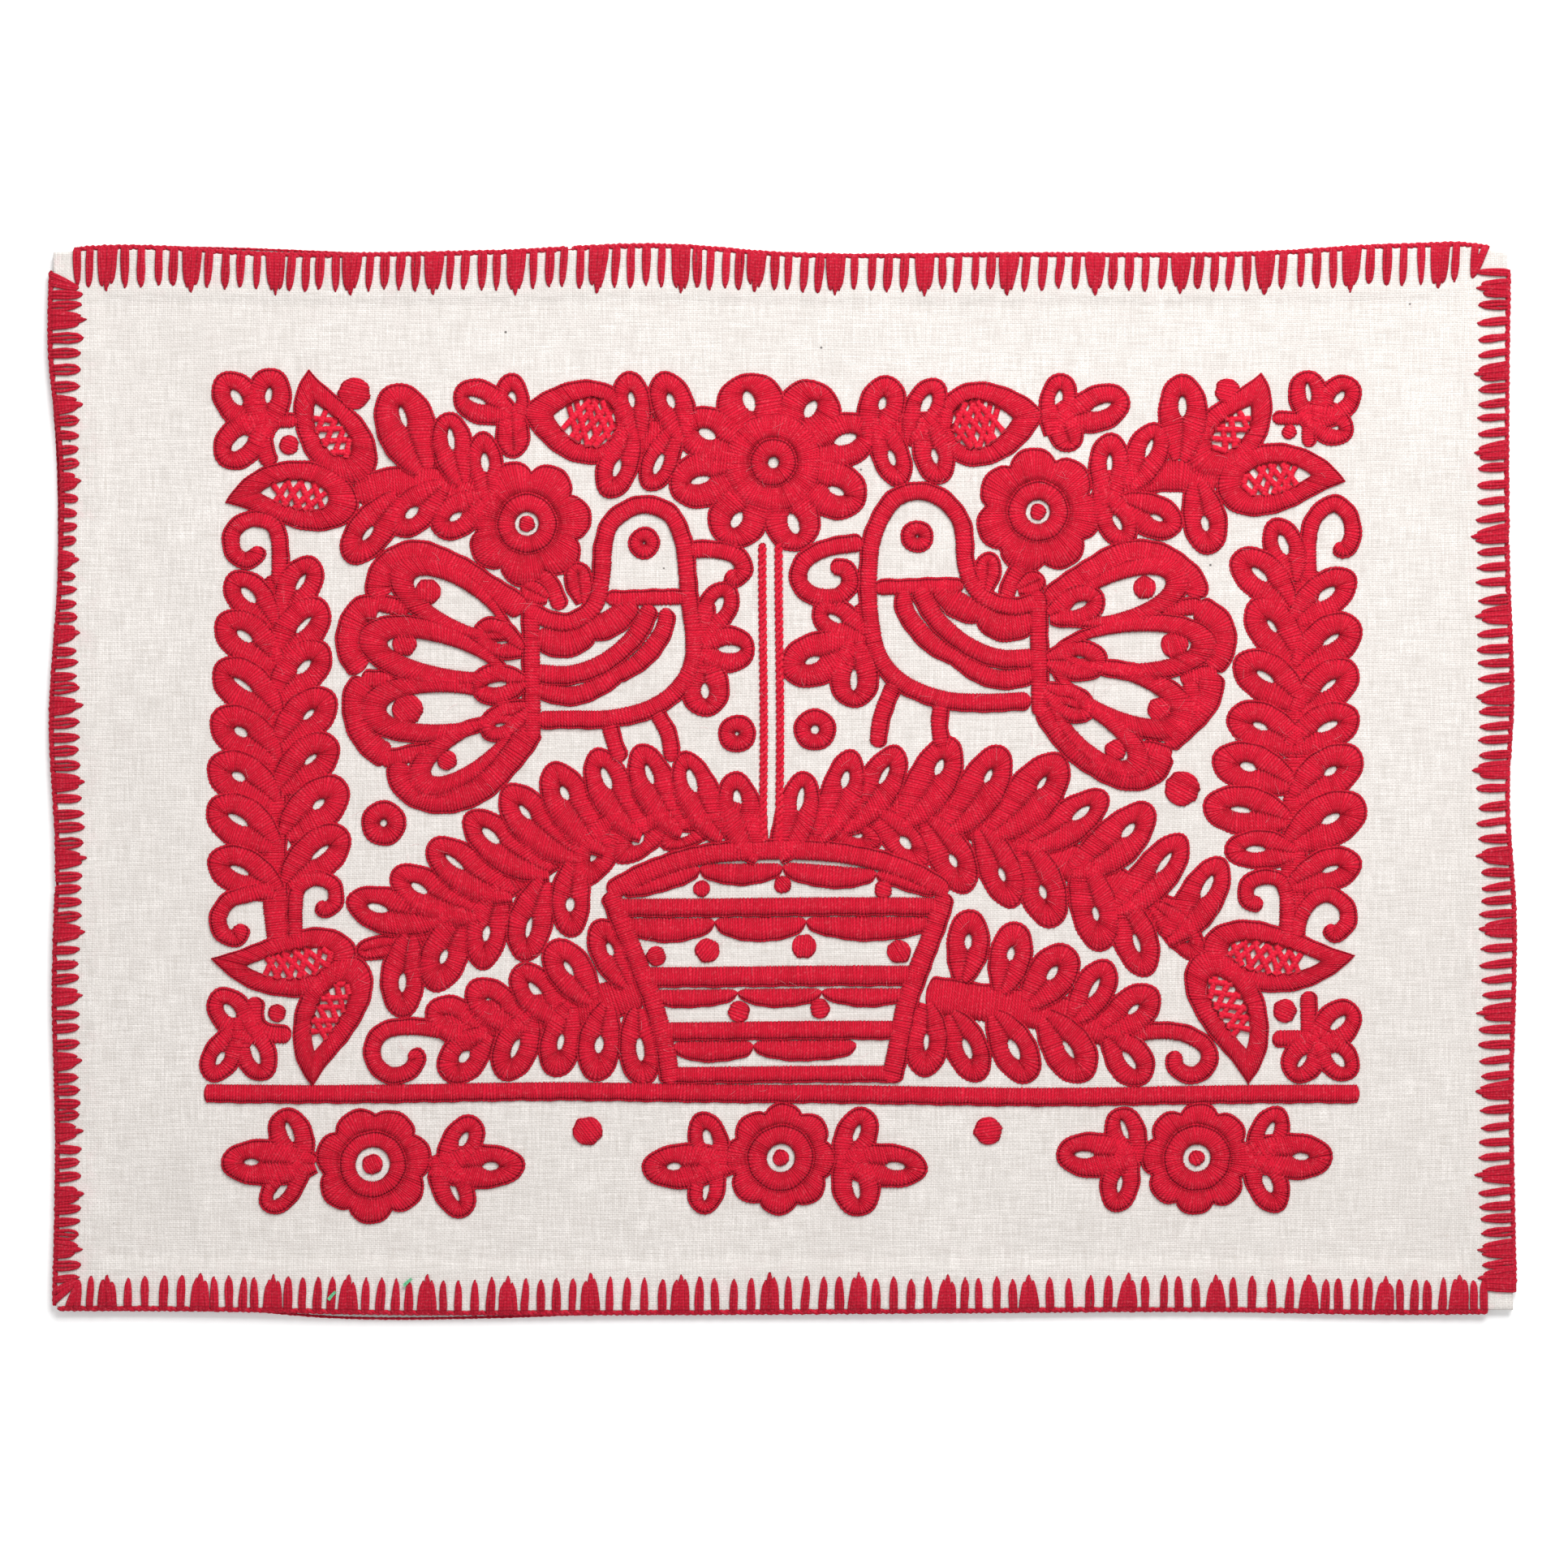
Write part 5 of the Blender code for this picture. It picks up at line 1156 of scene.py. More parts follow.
@dataclass
class LowerField:
    """Arched sprays and low sprays about the basket, and lone dots."""

    left_arch_upper: tuple[LeafRow, ...] = (
        (-21, -9, 100, 29, 22), (-42, 0, 110, 32, 22), (-62, 3, 112, 34, 23), (-82, 1, 114, 34, 23),
        (-101, -6, 118, 36, 24), (-119, -15, 132, 36, 24), (-135, -26, 140, 36, 23),
        (-152, -38, 142, 34, 23), (-168, -50, 148, 34, 23), (-187, -59, 164, 34, 23))
    left_arch_lower: tuple[LeafRow, ...] = (
        (-45, -24, 205, 28, 15), (-67, -27, 217, 32, 18), (-87, -34, 240, 35, 21), (-98, -57, 268, 34, 19),
        (-117, -68, 257, 36, 22), (-137, -71, 258, 38, 21), (-157, -82, 248, 38, 23),
        (-176, -94, 266, 36, 21))
    right_arch_upper: tuple[LeafRow, ...] = (
        (8, -9, 80, 29, 21), (29, 0, 76, 32, 21), (47, 2, 62, 34, 22), (72, 6, 66, 36, 24),
        (95, 2, 62, 36, 24), (120, -1, 55, 37, 26), (138, -15, 38, 34, 21), (160, -23, 45, 36, 24),
        (177, -38, 52, 36, 22), (197, -49, 62, 34, 22))
    right_arch_lower: tuple[LeafRow, ...] = (
        (34, -25, 342, 28, 15), (57, -29, 312, 32, 18), (79, -37, 300, 36, 22), (102, -43, 292, 36, 21),
        (121, -51, 288, 38, 23), (145, -61, 282, 40, 23), (164, -75, 288, 36, 22), (186, -72, 308, 30, 17))
    left_low_upper: tuple[LeafRow, ...] = (
        (-80, -78, 111, 34, 20), (-99, -87, 122, 34, 22), (-114, -98, 130, 34, 22), (-134, -104, 144, 34, 22),
        (-153, -111, 155, 30, 22))
    left_low_lower: tuple[LeafRow, ...] = (
        (-66.5, -124, 276, 38, 21), (-85.5, -122, 262, 38, 21), (-103, -121, 258, 37, 20),
        (-124, -124, 246, 35, 22), (-148, -128, 228, 32, 22))
    right_low_upper: tuple[LeafRow, ...] = (
        (86, -74.5, 84, 34, 21), (106, -80, 78, 34, 21), (125, -89, 54, 34, 23), (144, -96, 60, 32, 20),
        (162, -106, 38, 32, 22))
    right_low_lower: tuple[LeafRow, ...] = (
        (66, -121, 266, 36, 21), (85, -124, 292, 36, 21), (107, -124, 298, 38, 22), (132, -124, 302, 38, 24),
        (160, -129, 308, 30, 22))

    def draw(self, drawing: Drawing) -> None:
        """Adds the bands."""
        stem = [(-8, -24), (-30, -17), (-53, -15), (-75, -18), (-94, -26), (-118, -40), (-136, -51),
                (-152, -60), (-174, -70)]
        bud = leaves(((-189, -78, 192, 21, 12),), half_slit=(4.0, 0.0))
        drawing.put("arch_left", [stroke(stem, 18, base=-0.35)] + bud + leaves(self.left_arch_lower, 9, 8)
                    + leaves(self.left_arch_upper, -17, 15, 0.61))
        stem = [(8, -24), (32, -17), (56, -14), (80, -17), (104, -24), (126, -34), (148, -44), (170, -58),
                (190, -66)]
        drawing.put("arch_right", [stroke(stem, 18, base=-0.35)] + leaves(self.right_arch_lower, -9, 8)
                    + leaves(self.right_arch_upper, 17, 15, 0.61))
        stem = [(-66, -97), (-88, -104), (-112, -108), (-136, -111), (-158, -117)]
        curl = [(-156, -116), (-171, -114), (-184, -115.5), (-190, -122.5), (-189, -131), (-182, -136.5),
                (-173.5, -135), (-169.5, -129), (-173, -125.5)]
        drawing.put("lower_spray_left", [stroke(stem, 18, base=-0.35)] + leaves(self.left_low_upper, -7, 4)
                    + leaves(self.left_low_lower, 6, 2) + [stroke(curl, 8.5, -1, base=0.1)])
        stem = [(66, -99), (88, -102), (112, -105), (136, -110), (160, -117)]
        curl = [(160, -117), (174, -115.5), (186, -117), (196, -123), (197, -131), (190, -136.5),
                (182, -133), (181, -125)]
        drawing.put("lower_spray_right", [stroke(stem, 18, base=-0.35)] + leaves(self.right_low_upper, 7, 4)
                    + leaves(self.right_low_lower, -6, 2) + [stroke(curl, 8.5, 1, base=0.1)])
        for word, dot in (
                ("stem_left", wheel(-21.5, 22, 9.0, 0.8)), ("stem_right", wheel(14.5, 23.5, 10.2, 1.9)),
                ("side_left", wheel(-184.5, -20, 10.6, 1.5)), ("side_right", pad(185, -4, 8.2, 60)),
                ("top_left", pad(-198.5, 179, 7.6, 80)), ("top_right", pad(205.5, 180, 5.9, 80)),
                ("bottom_left", pad(-90.5, -162, 6.9, 40)), ("bottom_right", pad(95, -162, 6.7, 100))):
            drawing.put("dot_" + word, [dot])


@dataclass
class MiddleLine:
    """Great flower, stems, basket, base bar and the row of sprigs.

    A sprig has its centre, radius, petals, first notch and window, then for each leaf its slit from the
    centre, heading, length, width and tail.
    """

    flower_at: Point = (-4.7, 147.2)
    petals: tuple[LeafRow, ...] = (
        (-16, 175.5, 110, 30, 32), (-35, 160.5, 155, 34, 26), (-38, 139.5, 194, 34, 27),
        (-21, 121, 238, 30, 28), (5, 119, 290, 30, 27), (25, 134, 337, 34, 27), (29, 157.5, 17, 34, 26),
        (12.5, 171.5, 55, 31, 31))
    sprigs: tuple[tuple[str, Point, float, int, float, float, tuple[PaisleyRow, ...]], ...] = (
        ("left", (-189.5, -178), 27.6, 7, 36, 7.8, (
            (-39, 15.5, 111, 27, 21, 6), (-56.5, 1.5, 178, 32, 22.5, 18), (-43, -12, 230, 27, 18, 6),
            (41.5, 11.5, 62, 28, 20, 6), (54.5, -1, 2, 37, 21.5, 14), (37.5, -12.5, 295, 30, 20, 6))),
        ("middle", (-1, -175), 26.6, 8, 20, 6.4, (
            (-33.5, 9.5, 107, 30, 19, 6), (-49, -3.5, 183, 35, 22, 14), (-34, -14.5, 262, 26, 18, 6),
            (35.5, 11.5, 70, 29, 20.5, 6), (53.5, -4, 355, 34, 21, 14), (35.5, -14, 282, 31, 23, 6))),
        ("right", (192, -175), 26.6, 8, 20, 6.2, (
            (-34, 13.5, 110, 26, 20, 6), (-52.5, 2, 178, 30, 22, 14), (-36, -12, 260, 30, 19, 6),
            (33, 12, 67, 30, 18.5, 6), (48, 0.5, 358, 35, 22.5, 14), (32.5, -12, 295, 33, 20, 6))))

    def flower(self) -> list[Band]:
        """Petals with slits about two rings."""
        bands = leaves(self.petals, half_slit=(4.4, 2.3))
        return bands + [ring(self.flower_at, 11, 23.5, base=0.3), ring(self.flower_at, 2.4, 11.6, base=0.5)]

    def basket(self) -> list[Band]:
        """Domed basket of straight and scalloped bands with dots, between two slanting sides."""
        bands = []
        for x0, y0, x1, y1, width, deep in (
                (-75, -50.5, -38, -40.5, 6, 3), (-38, -40.5, 0, -40.5, 5, 5.5), (0, -40, 44, -43.5, 5, 6),
                (44, -43.5, 72, -51.5, 7, 0.5), (-75, -65.5, -31, -65.5, 5, 7), (-31, -65.5, 11, -65.5, 5, 7),
                (11, -65.5, 69, -65.5, 5, 7), (-66, -98.5, -21, -98.5, 4, 5), (-21, -98.5, 18, -98.5, 4, 5.2),
                (18, -98.5, 60, -98.5, 4, 5.2), (-51, -123, -14, -123, 5.5, 4.5),
                (-14, -123, 34, -123, 5.5, 4.5)):
            bands.append(stroke([(x0, y0), (x1, y1)], width, -1, 1, deep))
        for x0, x1, y, width in ((-77, 72, -58.5, 9.2), (-67, 64, -91, 10), (-57, 54, -116, 9),
                                 (-54, 51, -136, 8.2)):
            bands.append(stroke([(x0, y), (x1, y)], width, -1, base=0.15, rounded=1.2))
        bands.append(stroke([(-80.5, -51), (-73, -70), (-66, -88), (-59.5, -106), (-54.5, -126),
                             (-52.5, -140)], 10, -1, base=0.3))
        bands.append(stroke([(76, -52), (68.5, -74), (63, -88), (57, -106), (53, -126), (50, -140)], 10, 1,
                            base=0.3))
        dome = [(-81, -51), (-60, -40.5), (-38, -34), (-16, -32), (10, -32), (34, -34.5), (58, -41),
                (77, -51)]
        bands.append(stroke(dome, 10, base=0.35))
        for k, (x, y, radius) in enumerate((
                (-37, -49.5, 4.0), (0, -48, 4.2), (47, -50.5, 4.2), (-58.5, -81, 4.8), (-34.5, -78.5, 5.8),
                (10, -77, 5.9), (54, -79.5, 5.6), (-20.5, -107, 5.0), (17, -106, 4.7))):
            bands.append(pad(x, y, radius, 35 * k))
        return bands

    def sprig(self, at: Point, radius: float, petals: int, notch: float, window: float,
              rows: Sequence[PaisleyRow]) -> list[Band]:
        """Flower with leaves on both sides.

        Args:
            at: The flower's centre.
            radius: Its outer radius.
            petals: Number of its petals.
            notch: Angle of the first notch between petals, in degrees.
            window: Radius of its window.
            rows: For each leaf its slit from the centre, heading, length, width and tail.

        Returns:
            The bands.
        """
        bands = []
        for dx, dy, heading, length, width, tail in rows:
            bands += leaves(((at[0] + dx, at[1] + dy, heading, length, width),), tail=tail, base=0.01 * tail)
        return bands + [ring(at, 15.5, radius, petals, 0.16, notch, base=0.15),
                        ring(at, window, 16.3, base=0.2), pad(*at, 0.62 * window, 30)]

    def stem(self, x: float) -> list[Floats]:
        """Two plies of a chain-like line, each a sine about the line, half a wave apart."""
        y = np.arange(-28.0, 110.0, 0.85)
        turn = 2 * np.pi * y / 6.2
        return [np.stack([x + 1.15 * np.sin(turn + start), y, 0.35 + 0.35 * np.cos(turn + start)], 1)
                for start in (0.0, np.pi)]

    def draw(self, drawing: Drawing) -> None:
        """Adds the bands and the stems' yarns."""
        drawing.put("flower", self.flower())
        drawing.put("basket", self.basket())
        bar = [(-268, -144.3), (-180, -145), (-90, -143.6), (0, -145), (90, -146), (190, -145.5),
               (267, -145)]
        drawing.put("base_bar", [stroke(bar, 9, -1, base=0.1, rounded=1.2)])
        for word, *row in self.sprigs:
            drawing.put("sprig_" + word, self.sprig(*row))
        for word, x in (("left", -9.3), ("right", -1.8)):
            drawing.put("stem_" + word, [], self.stem(x))


# Finishes


class NodeSheet:
    """Shorthand for laying out shader nodes."""

    def __init__(self, tree: bpy.types.NodeTree) -> None:
        """Keeps the tree that nodes are added to."""
        self.tree = tree

    def add(self, kind: str, *sources: object, **settings: object) -> bpy.types.Node:
        """New node of a kind with its settings, and with sources in its first sockets."""
        node = self.tree.nodes.new(kind)
        for name, value in settings.items():
            setattr(node, name, value)
        for source, socket in zip(sources, node.inputs):
            self.link(source, socket)
        return node

    def link(self, source: object, socket: Socket) -> None:
        """Joins a socket, or sets a plain value, into a socket."""
        if isinstance(source, Socket):
            self.tree.links.new(source, socket)
        else:
            socket.default_value = source

    def math(self, operation: str, *values: object, clamp: bool = False) -> Socket:
        """Math node over sockets or numbers."""
        return self.add("ShaderNodeMath", *values, operation=operation, use_clamp=clamp).outputs[0]

    def blend(self, share: object, first: object, second: object) -> Socket:
        """Mix of two colours."""
        node = self.add("ShaderNodeMix", share, data_type="RGBA")
        self.link(first, node.inputs[6])
        self.link(second, node.inputs[7])
        return node.outputs[2]

    def ramp(self, value: object, low: float, high: float, to_low: float = 0.0,
             to_high: float = 1.0) -> Socket:
        """Clamped straight ramp from one range to another."""
        return self.add("ShaderNodeMapRange", value, low, high, to_low, to_high, clamp=True).outputs[0]

    def scaled(self, vector: Socket, scale: Triple) -> Socket:
        """Coordinates scaled along their axes."""
        node = self.add("ShaderNodeMapping", vector)
        node.inputs["Scale"].default_value = scale
        return node.outputs[0]

    def noise(self, vector: Socket, scale: float, detail: float = 2.0, roughness: float = 0.5) -> Socket:
        """Noise value from 0 to 1."""
        node = self.add("ShaderNodeTexNoise", vector)
        node.inputs["Scale"].default_value = scale
        node.inputs["Detail"].default_value = detail
        node.inputs["Roughness"].default_value = roughness
        return node.outputs[0]


def new_group(name: str, inputs: Sequence[tuple[str, str]],
              outputs: Sequence[tuple[str, str]]) -> tuple[bpy.types.NodeTree, NodeSheet]:
    """Empty shader group with its sockets.

    Args:
        name: Name of the group.
        inputs: Name and socket type of each input.
        outputs: Name and socket type of each output.

    Returns:
        The group and a sheet for laying out its nodes.
    """
    group = bpy.data.node_groups.new(name, "ShaderNodeTree")
    for label, kind in inputs:
        group.interface.new_socket(name=label, in_out="INPUT", socket_type=kind)
    for label, kind in outputs:
        group.interface.new_socket(name=label, in_out="OUTPUT", socket_type=kind)
    return group, NodeSheet(group)


VALUE, VECTOR = "NodeSocketFloat", "NodeSocketVector"


def plied_yarn_group() -> bpy.types.NodeTree:
    """Plies that wind round a yarn, and its fine fibres.

    The twist is a sine of the yarn's pattern coordinates, along plus across over the pitch.

    Returns:
        Group with the inputs Coords, Pattern and Pitch, and the outputs Twist, Fibre and Height.
    """
    group, sheet = new_group("plied yarn", (("Coords", VECTOR), ("Pattern", VECTOR), ("Pitch", VALUE)),
                             (("Twist", VALUE), ("Fibre", VALUE), ("Height", VALUE)))
    entry = sheet.add("NodeGroupInput").outputs
    split = sheet.add("ShaderNodeSeparateXYZ", entry["Pattern"])
    turns = sheet.math("DIVIDE", split.outputs["Y"], entry["Pitch"])
    phase = sheet.math("MULTIPLY", sheet.math("ADD", turns, split.outputs["X"]), 2 * np.pi)
    twist = sheet.math("MULTIPLY_ADD", sheet.math("SINE", phase), 0.5, 0.5)
    fibre = sheet.noise(entry["Coords"], 2600.0, 3.0, 0.65)
    exit_ = sheet.add("NodeGroupOutput").inputs
    sheet.link(twist, exit_["Twist"])
    sheet.link(fibre, exit_["Fibre"])
    sheet.link(sheet.math("MULTIPLY_ADD", fibre, 0.6, sheet.math("MULTIPLY", twist, 0.6)), exit_["Height"])
    return group


def weave_group() -> bpy.types.NodeTree:
    """Plain weave of uneven hand-spun threads.

    Each thread is the absolute sine of a coordinate over the thread pitch, the pore between threads, where
    shade is painted, is the product of both hollows, and slubs are noise drawn out along each thread.

    Returns:
        Group with the inputs Coords and Pitch, and the outputs Height, Pore, Slub and Blotch.
    """
    group, sheet = new_group("plain weave", (("Coords", VECTOR), ("Pitch", VALUE)),
                             (("Height", VALUE), ("Pore", VALUE), ("Slub", VALUE), ("Blotch", VALUE)))
    entry = sheet.add("NodeGroupInput").outputs
    split = sheet.add("ShaderNodeSeparateXYZ", entry["Coords"])
    drift = sheet.noise(entry["Coords"], 24.0, 2.0)
    threads = []
    for axis, stretch in (("X", (330.0, 60.0, 18.0)), ("Y", (60.0, 330.0, 18.0))):
        jitter = sheet.noise(sheet.scaled(entry["Coords"], stretch), 1.0, 2.0, 0.6)
        count = sheet.math("DIVIDE", split.outputs[axis], entry["Pitch"])
        moved = sheet.math("MULTIPLY_ADD", jitter, 1.1, sheet.math("MULTIPLY_ADD", drift, 2.4, count))
        threads.append(sheet.math("MULTIPLY", moved, np.pi))
    warp, weft = (sheet.math("SINE", thread) for thread in threads)
    rounds = [sheet.math("ABSOLUTE", wave) for wave in (warp, weft)]
    over = sheet.math("MULTIPLY", warp, weft)
    height = sheet.math("MULTIPLY_ADD", over, 0.25, sheet.math("MULTIPLY", sheet.math("ADD", *rounds), 0.5))
    hollows = [sheet.math("SUBTRACT", 1.0, value) for value in rounds]
    # Where shade is painted between the threads.
    pore = sheet.math("POWER", sheet.math("MULTIPLY", *hollows), 0.8)
    slubs = [sheet.noise(sheet.scaled(entry["Coords"], scale), 1.0, 3.0, 0.6)
             for scale in ((1100.0, 75.0, 20.0), (70.0, 1100.0, 20.0))]
    exit_ = sheet.add("NodeGroupOutput").inputs
    sheet.link(height, exit_["Height"])
    sheet.link(pore, exit_["Pore"])
    sheet.link(sheet.math("MULTIPLY", sheet.math("ADD", *slubs), 0.5), exit_["Slub"])
    wide, small = (sheet.noise(entry["Coords"], scale, 4.0, 0.65) for scale in (9.0, 60.0))
    sheet.link(sheet.math("MULTIPLY", sheet.math("ADD", wide, small), 0.5), exit_["Blotch"])
    return group


def new_material(name: str, roughness: float,
                 specular: float) -> tuple[bpy.types.Material, NodeSheet, bpy.types.Node]:
    """Principled material with its roughness and specular level.

    Args:
        name: Name of the material.
        roughness: Roughness of its surface.
        specular: Its specular level.

    Returns:
        The material, a sheet for its nodes, and its shader.
    """
    made = bpy.data.materials.new(name)
    made.use_nodes = True
    shader = made.node_tree.nodes["Principled BSDF"]
    shader.inputs["Roughness"].default_value = roughness
    shader.inputs["Specular IOR Level"].default_value = specular
    return made, NodeSheet(made.node_tree), shader


def add_bump(sheet: NodeSheet, shader: bpy.types.Node, height: Socket, distance: float) -> None:
    """Bumps a shader's normal by a height over a distance."""
    bump = sheet.add("ShaderNodeBump")
    bump.inputs["Distance"].default_value = distance
    bump.inputs["Strength"].default_value = 1.0
    sheet.link(height, bump.inputs["Height"])
    sheet.link(bump.outputs[0], shader.inputs["Normal"])


@dataclass(frozen=True)
class YarnFinish:
    """Soft plied yarn in one colour."""

    name: str
    light: Colour
    deep: Colour
    # Colour of the painted shade in hollows, grooves and under yarns.
    hollow: Colour
    pale: Colour
    pitch: float = 1.5
    roughness: float = 0.82
    sheen: float = 0.05
    bump: float = 0.0002
    tone_share: float = 0.26
    ply_shade_share: float = 0.3
    fibre_share: float = 0.34
    patch_share: float = 0.4
    patch_scale: float = 55.0
    fuzz_scale: float = 850.0
    fuzz_range: Point = (0.53, 0.74)
    fuzz_sheen_share: float = 0.6

    def material(self, group: bpy.types.NodeTree) -> bpy.types.Material:
        """Principled material: tone by stitch, twist and fibre, with painted shade along the twist, a pale
        fuzz that is partly a painted sheen, and painted shade that darkens the hollows.

        Args:
            group: The plied yarn group.

        Returns:
            The new material.
        """
        made, sheet, shader = new_material(self.name, self.roughness, 0.1)
        coords = sheet.add("ShaderNodeTexCoord").outputs["Object"]
        pattern = sheet.add("ShaderNodeUVMap", uv_map="yarn").outputs[0]
        yarn = sheet.add("ShaderNodeGroup", coords, pattern, self.pitch, node_tree=group)
        tone = sheet.add("ShaderNodeAttribute", attribute_name="tone").outputs["Fac"]
        hollow = sheet.add("ShaderNodeAttribute", attribute_name="hollow").outputs["Fac"]
        patch = sheet.noise(coords, self.patch_scale, 2.0)
        # Painted shade along the twist: the colour deepens between the plies, where the bump sinks.
        twist = sheet.math("MULTIPLY", yarn.outputs["Twist"], self.ply_shade_share)
        mixed = sheet.math("MULTIPLY_ADD", tone, self.tone_share, twist)
        mixed = sheet.math("MULTIPLY_ADD", yarn.outputs["Fibre"], self.fibre_share, mixed)
        mixed = sheet.math("MULTIPLY_ADD", patch, self.patch_share, mixed, clamp=True)
        body = sheet.blend(mixed, self.deep, self.light)
        # Pale fuzz, partly a painted sheen: a paler colour mixed in at random spots of the yarn.
        fuzz = sheet.noise(coords, self.fuzz_scale, 4.0, 0.75)
        body = sheet.blend(sheet.ramp(fuzz, *self.fuzz_range, 0.0, self.fuzz_sheen_share), body, self.pale)
        # Painted shade: the shade colour is mixed in by each point's share of it.
        sunk = sheet.math("POWER", sheet.math("MAXIMUM", hollow, 0.0), 1.3)
        sheet.link(sheet.blend(sunk, body, self.hollow), shader.inputs["Base Color"])
        shader.inputs["Sheen Weight"].default_value = self.sheen
        shader.inputs["Sheen Roughness"].default_value = 0.5
        add_bump(sheet, shader, yarn.outputs["Height"], self.bump)
        return made


@dataclass(frozen=True)
class CottonFinish:
    """Off-white homespun cotton."""

    name: str = "homespun_cotton"
    light: Colour = (0.91, 0.865, 0.83, 1.0)
    grey: Colour = (0.60, 0.56, 0.525, 1.0)
    # Colour of the painted shade in the pores between threads.
    pore: Colour = (0.40, 0.355, 0.325, 1.0)
    slub: Colour = (0.66, 0.57, 0.47, 1.0)
    dye: Colour = (0.86, 0.60, 0.62, 1.0)
    fleck: Colour = (0.06, 0.05, 0.05, 1.0)
    pitch: float = 0.00094
    roughness: float = 0.88
    bump: float = 0.00014
    blotch_range: Point = (0.38, 0.68)
    thread_range: Point = (0.38, 0.60)
    knot_range: Point = (0.60, 0.72)
    grain_range: Point = (0.4, 0.7)
    dye_range: Point = (0.5, 0.78)
    fleck_spacing: float = 55.0
    fleck_range: Point = (0.022, 0.042)
    fleck_share: float = 0.82

    def material(self, group: bpy.types.NodeTree) -> bpy.types.Material:
        """Principled material with weave, painted shade in its pores, slubs, blotches, dye bled from the
        wool, and flecks.

        Args:
            group: The plain weave group.

        Returns:
            The new material.
        """
        made, sheet, shader = new_material(self.name, self.roughness, 0.2)
        coords = sheet.add("ShaderNodeTexCoord").outputs["Object"]
        weave = sheet.add("ShaderNodeGroup", coords, self.pitch, node_tree=group)
        blotch = sheet.ramp(weave.outputs["Blotch"], *self.blotch_range)
        colour = sheet.blend(sheet.math("MULTIPLY", blotch, 0.4), self.light, self.grey)
        thread = sheet.ramp(weave.outputs["Slub"], *self.thread_range, 0.0, 0.8)
        colour = sheet.blend(thread, colour, self.grey)
        knot = sheet.ramp(weave.outputs["Slub"], *self.knot_range, 0.0, 0.5)
        colour = sheet.blend(knot, colour, self.slub)
        grain = sheet.ramp(sheet.noise(coords, 1250.0, 2.0, 0.7), *self.grain_range, 0.0, 0.55)
        colour = sheet.blend(grain, colour, self.grey)
        # Painted shade between the threads of the weave.
        colour = sheet.blend(sheet.math("MULTIPLY", weave.outputs["Pore"], 0.42), colour, self.pore)
        stain = sheet.add("ShaderNodeAttribute", attribute_name="dye").outputs["Fac"]
        patches = sheet.ramp(sheet.noise(coords, 120.0, 3.0, 0.6), *self.dye_range, 0.0, 0.75)
        colour = sheet.blend(sheet.math("MULTIPLY", stain, patches), colour, self.dye)
        specks = sheet.add("ShaderNodeTexVoronoi", coords, feature="F1")
        specks.inputs["Scale"].default_value = self.fleck_spacing
        rare = sheet.add("ShaderNodeSeparateColor", specks.outputs["Color"])
        is_rare = sheet.math("GREATER_THAN", rare.outputs[0], self.fleck_share)
        near = sheet.ramp(specks.outputs["Distance"], *self.fleck_range, 0.85, 0.0)
        colour = sheet.blend(sheet.math("MULTIPLY", is_rare, near), colour, self.fleck)
        sheet.link(colour, shader.inputs["Base Color"])
        shader.inputs["Sheen Weight"].default_value = 0.1
        raised = sheet.math("MULTIPLY_ADD", weave.outputs["Slub"], 1.6, weave.outputs["Height"])
        add_bump(sheet, shader, raised, self.bump)
        return made


@dataclass
class Finishes:
    """Every material of the pillowcase."""

    wool: bpy.types.Material
    edge: bpy.types.Material
    cotton: bpy.types.Material
    snip: bpy.types.Material
    fibre: bpy.types.Material

    @classmethod
    def make(cls) -> Finishes:
        """Builds the groups once and the materials over them."""
        yarn = plied_yarn_group()
        # Each yarn's third colour is its painted shade, and its fourth the pale of its fuzz, partly a painted
        # sheen.
        wool = YarnFinish("carmine_wool", (0.85, 0.013, 0.048, 1.0), (0.53, 0.006, 0.023, 1.0),
                          (0.12, 0.002, 0.008, 1.0), (0.92, 0.15, 0.19, 1.0))
        edge = YarnFinish("deep_carmine_wool", (0.62, 0.012, 0.040, 1.0), (0.33, 0.005, 0.017, 1.0),
                          (0.08, 0.002, 0.006, 1.0), (0.72, 0.13, 0.17, 1.0))
        snip = YarnFinish("green_thread", (0.24, 0.68, 0.38, 1.0), (0.10, 0.42, 0.22, 1.0),
                          (0.03, 0.16, 0.08, 1.0), (0.40, 0.80, 0.52, 1.0))
        fibre = YarnFinish("loose_fibre", (0.86, 0.55, 0.56, 1.0), (0.70, 0.30, 0.34, 1.0),
                           (0.60, 0.20, 0.24, 1.0), (0.90, 0.70, 0.70, 1.0))
        return cls(wool.material(yarn), edge.material(yarn), CottonFinish().material(weave_group()),
                   snip.material(yarn), fibre.material(yarn))


# Pieces


class Slot(Enum):
    """Names of the material slots."""

    CLOTH = "cotton_cloth"
    WOOL = "red_wool"


def place_piece(piece: bpy.types.Object, finish: bpy.types.Material, slot: Slot, *nodes: str) -> None:
    """Dresses a piece, hides the solids that it stands for, and lets it ride on the pillowcase.

    Args:
        piece: The finished piece.
        finish: Its material.
        slot: Not used.
        nodes: The solids that it replaces.
    """
    piece.data.materials.append(finish)
    if nodes:
        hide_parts(*nodes)
    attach(piece, "root")
    LOG.info("%s: %d faces", piece.name, len(piece.data.polygons))


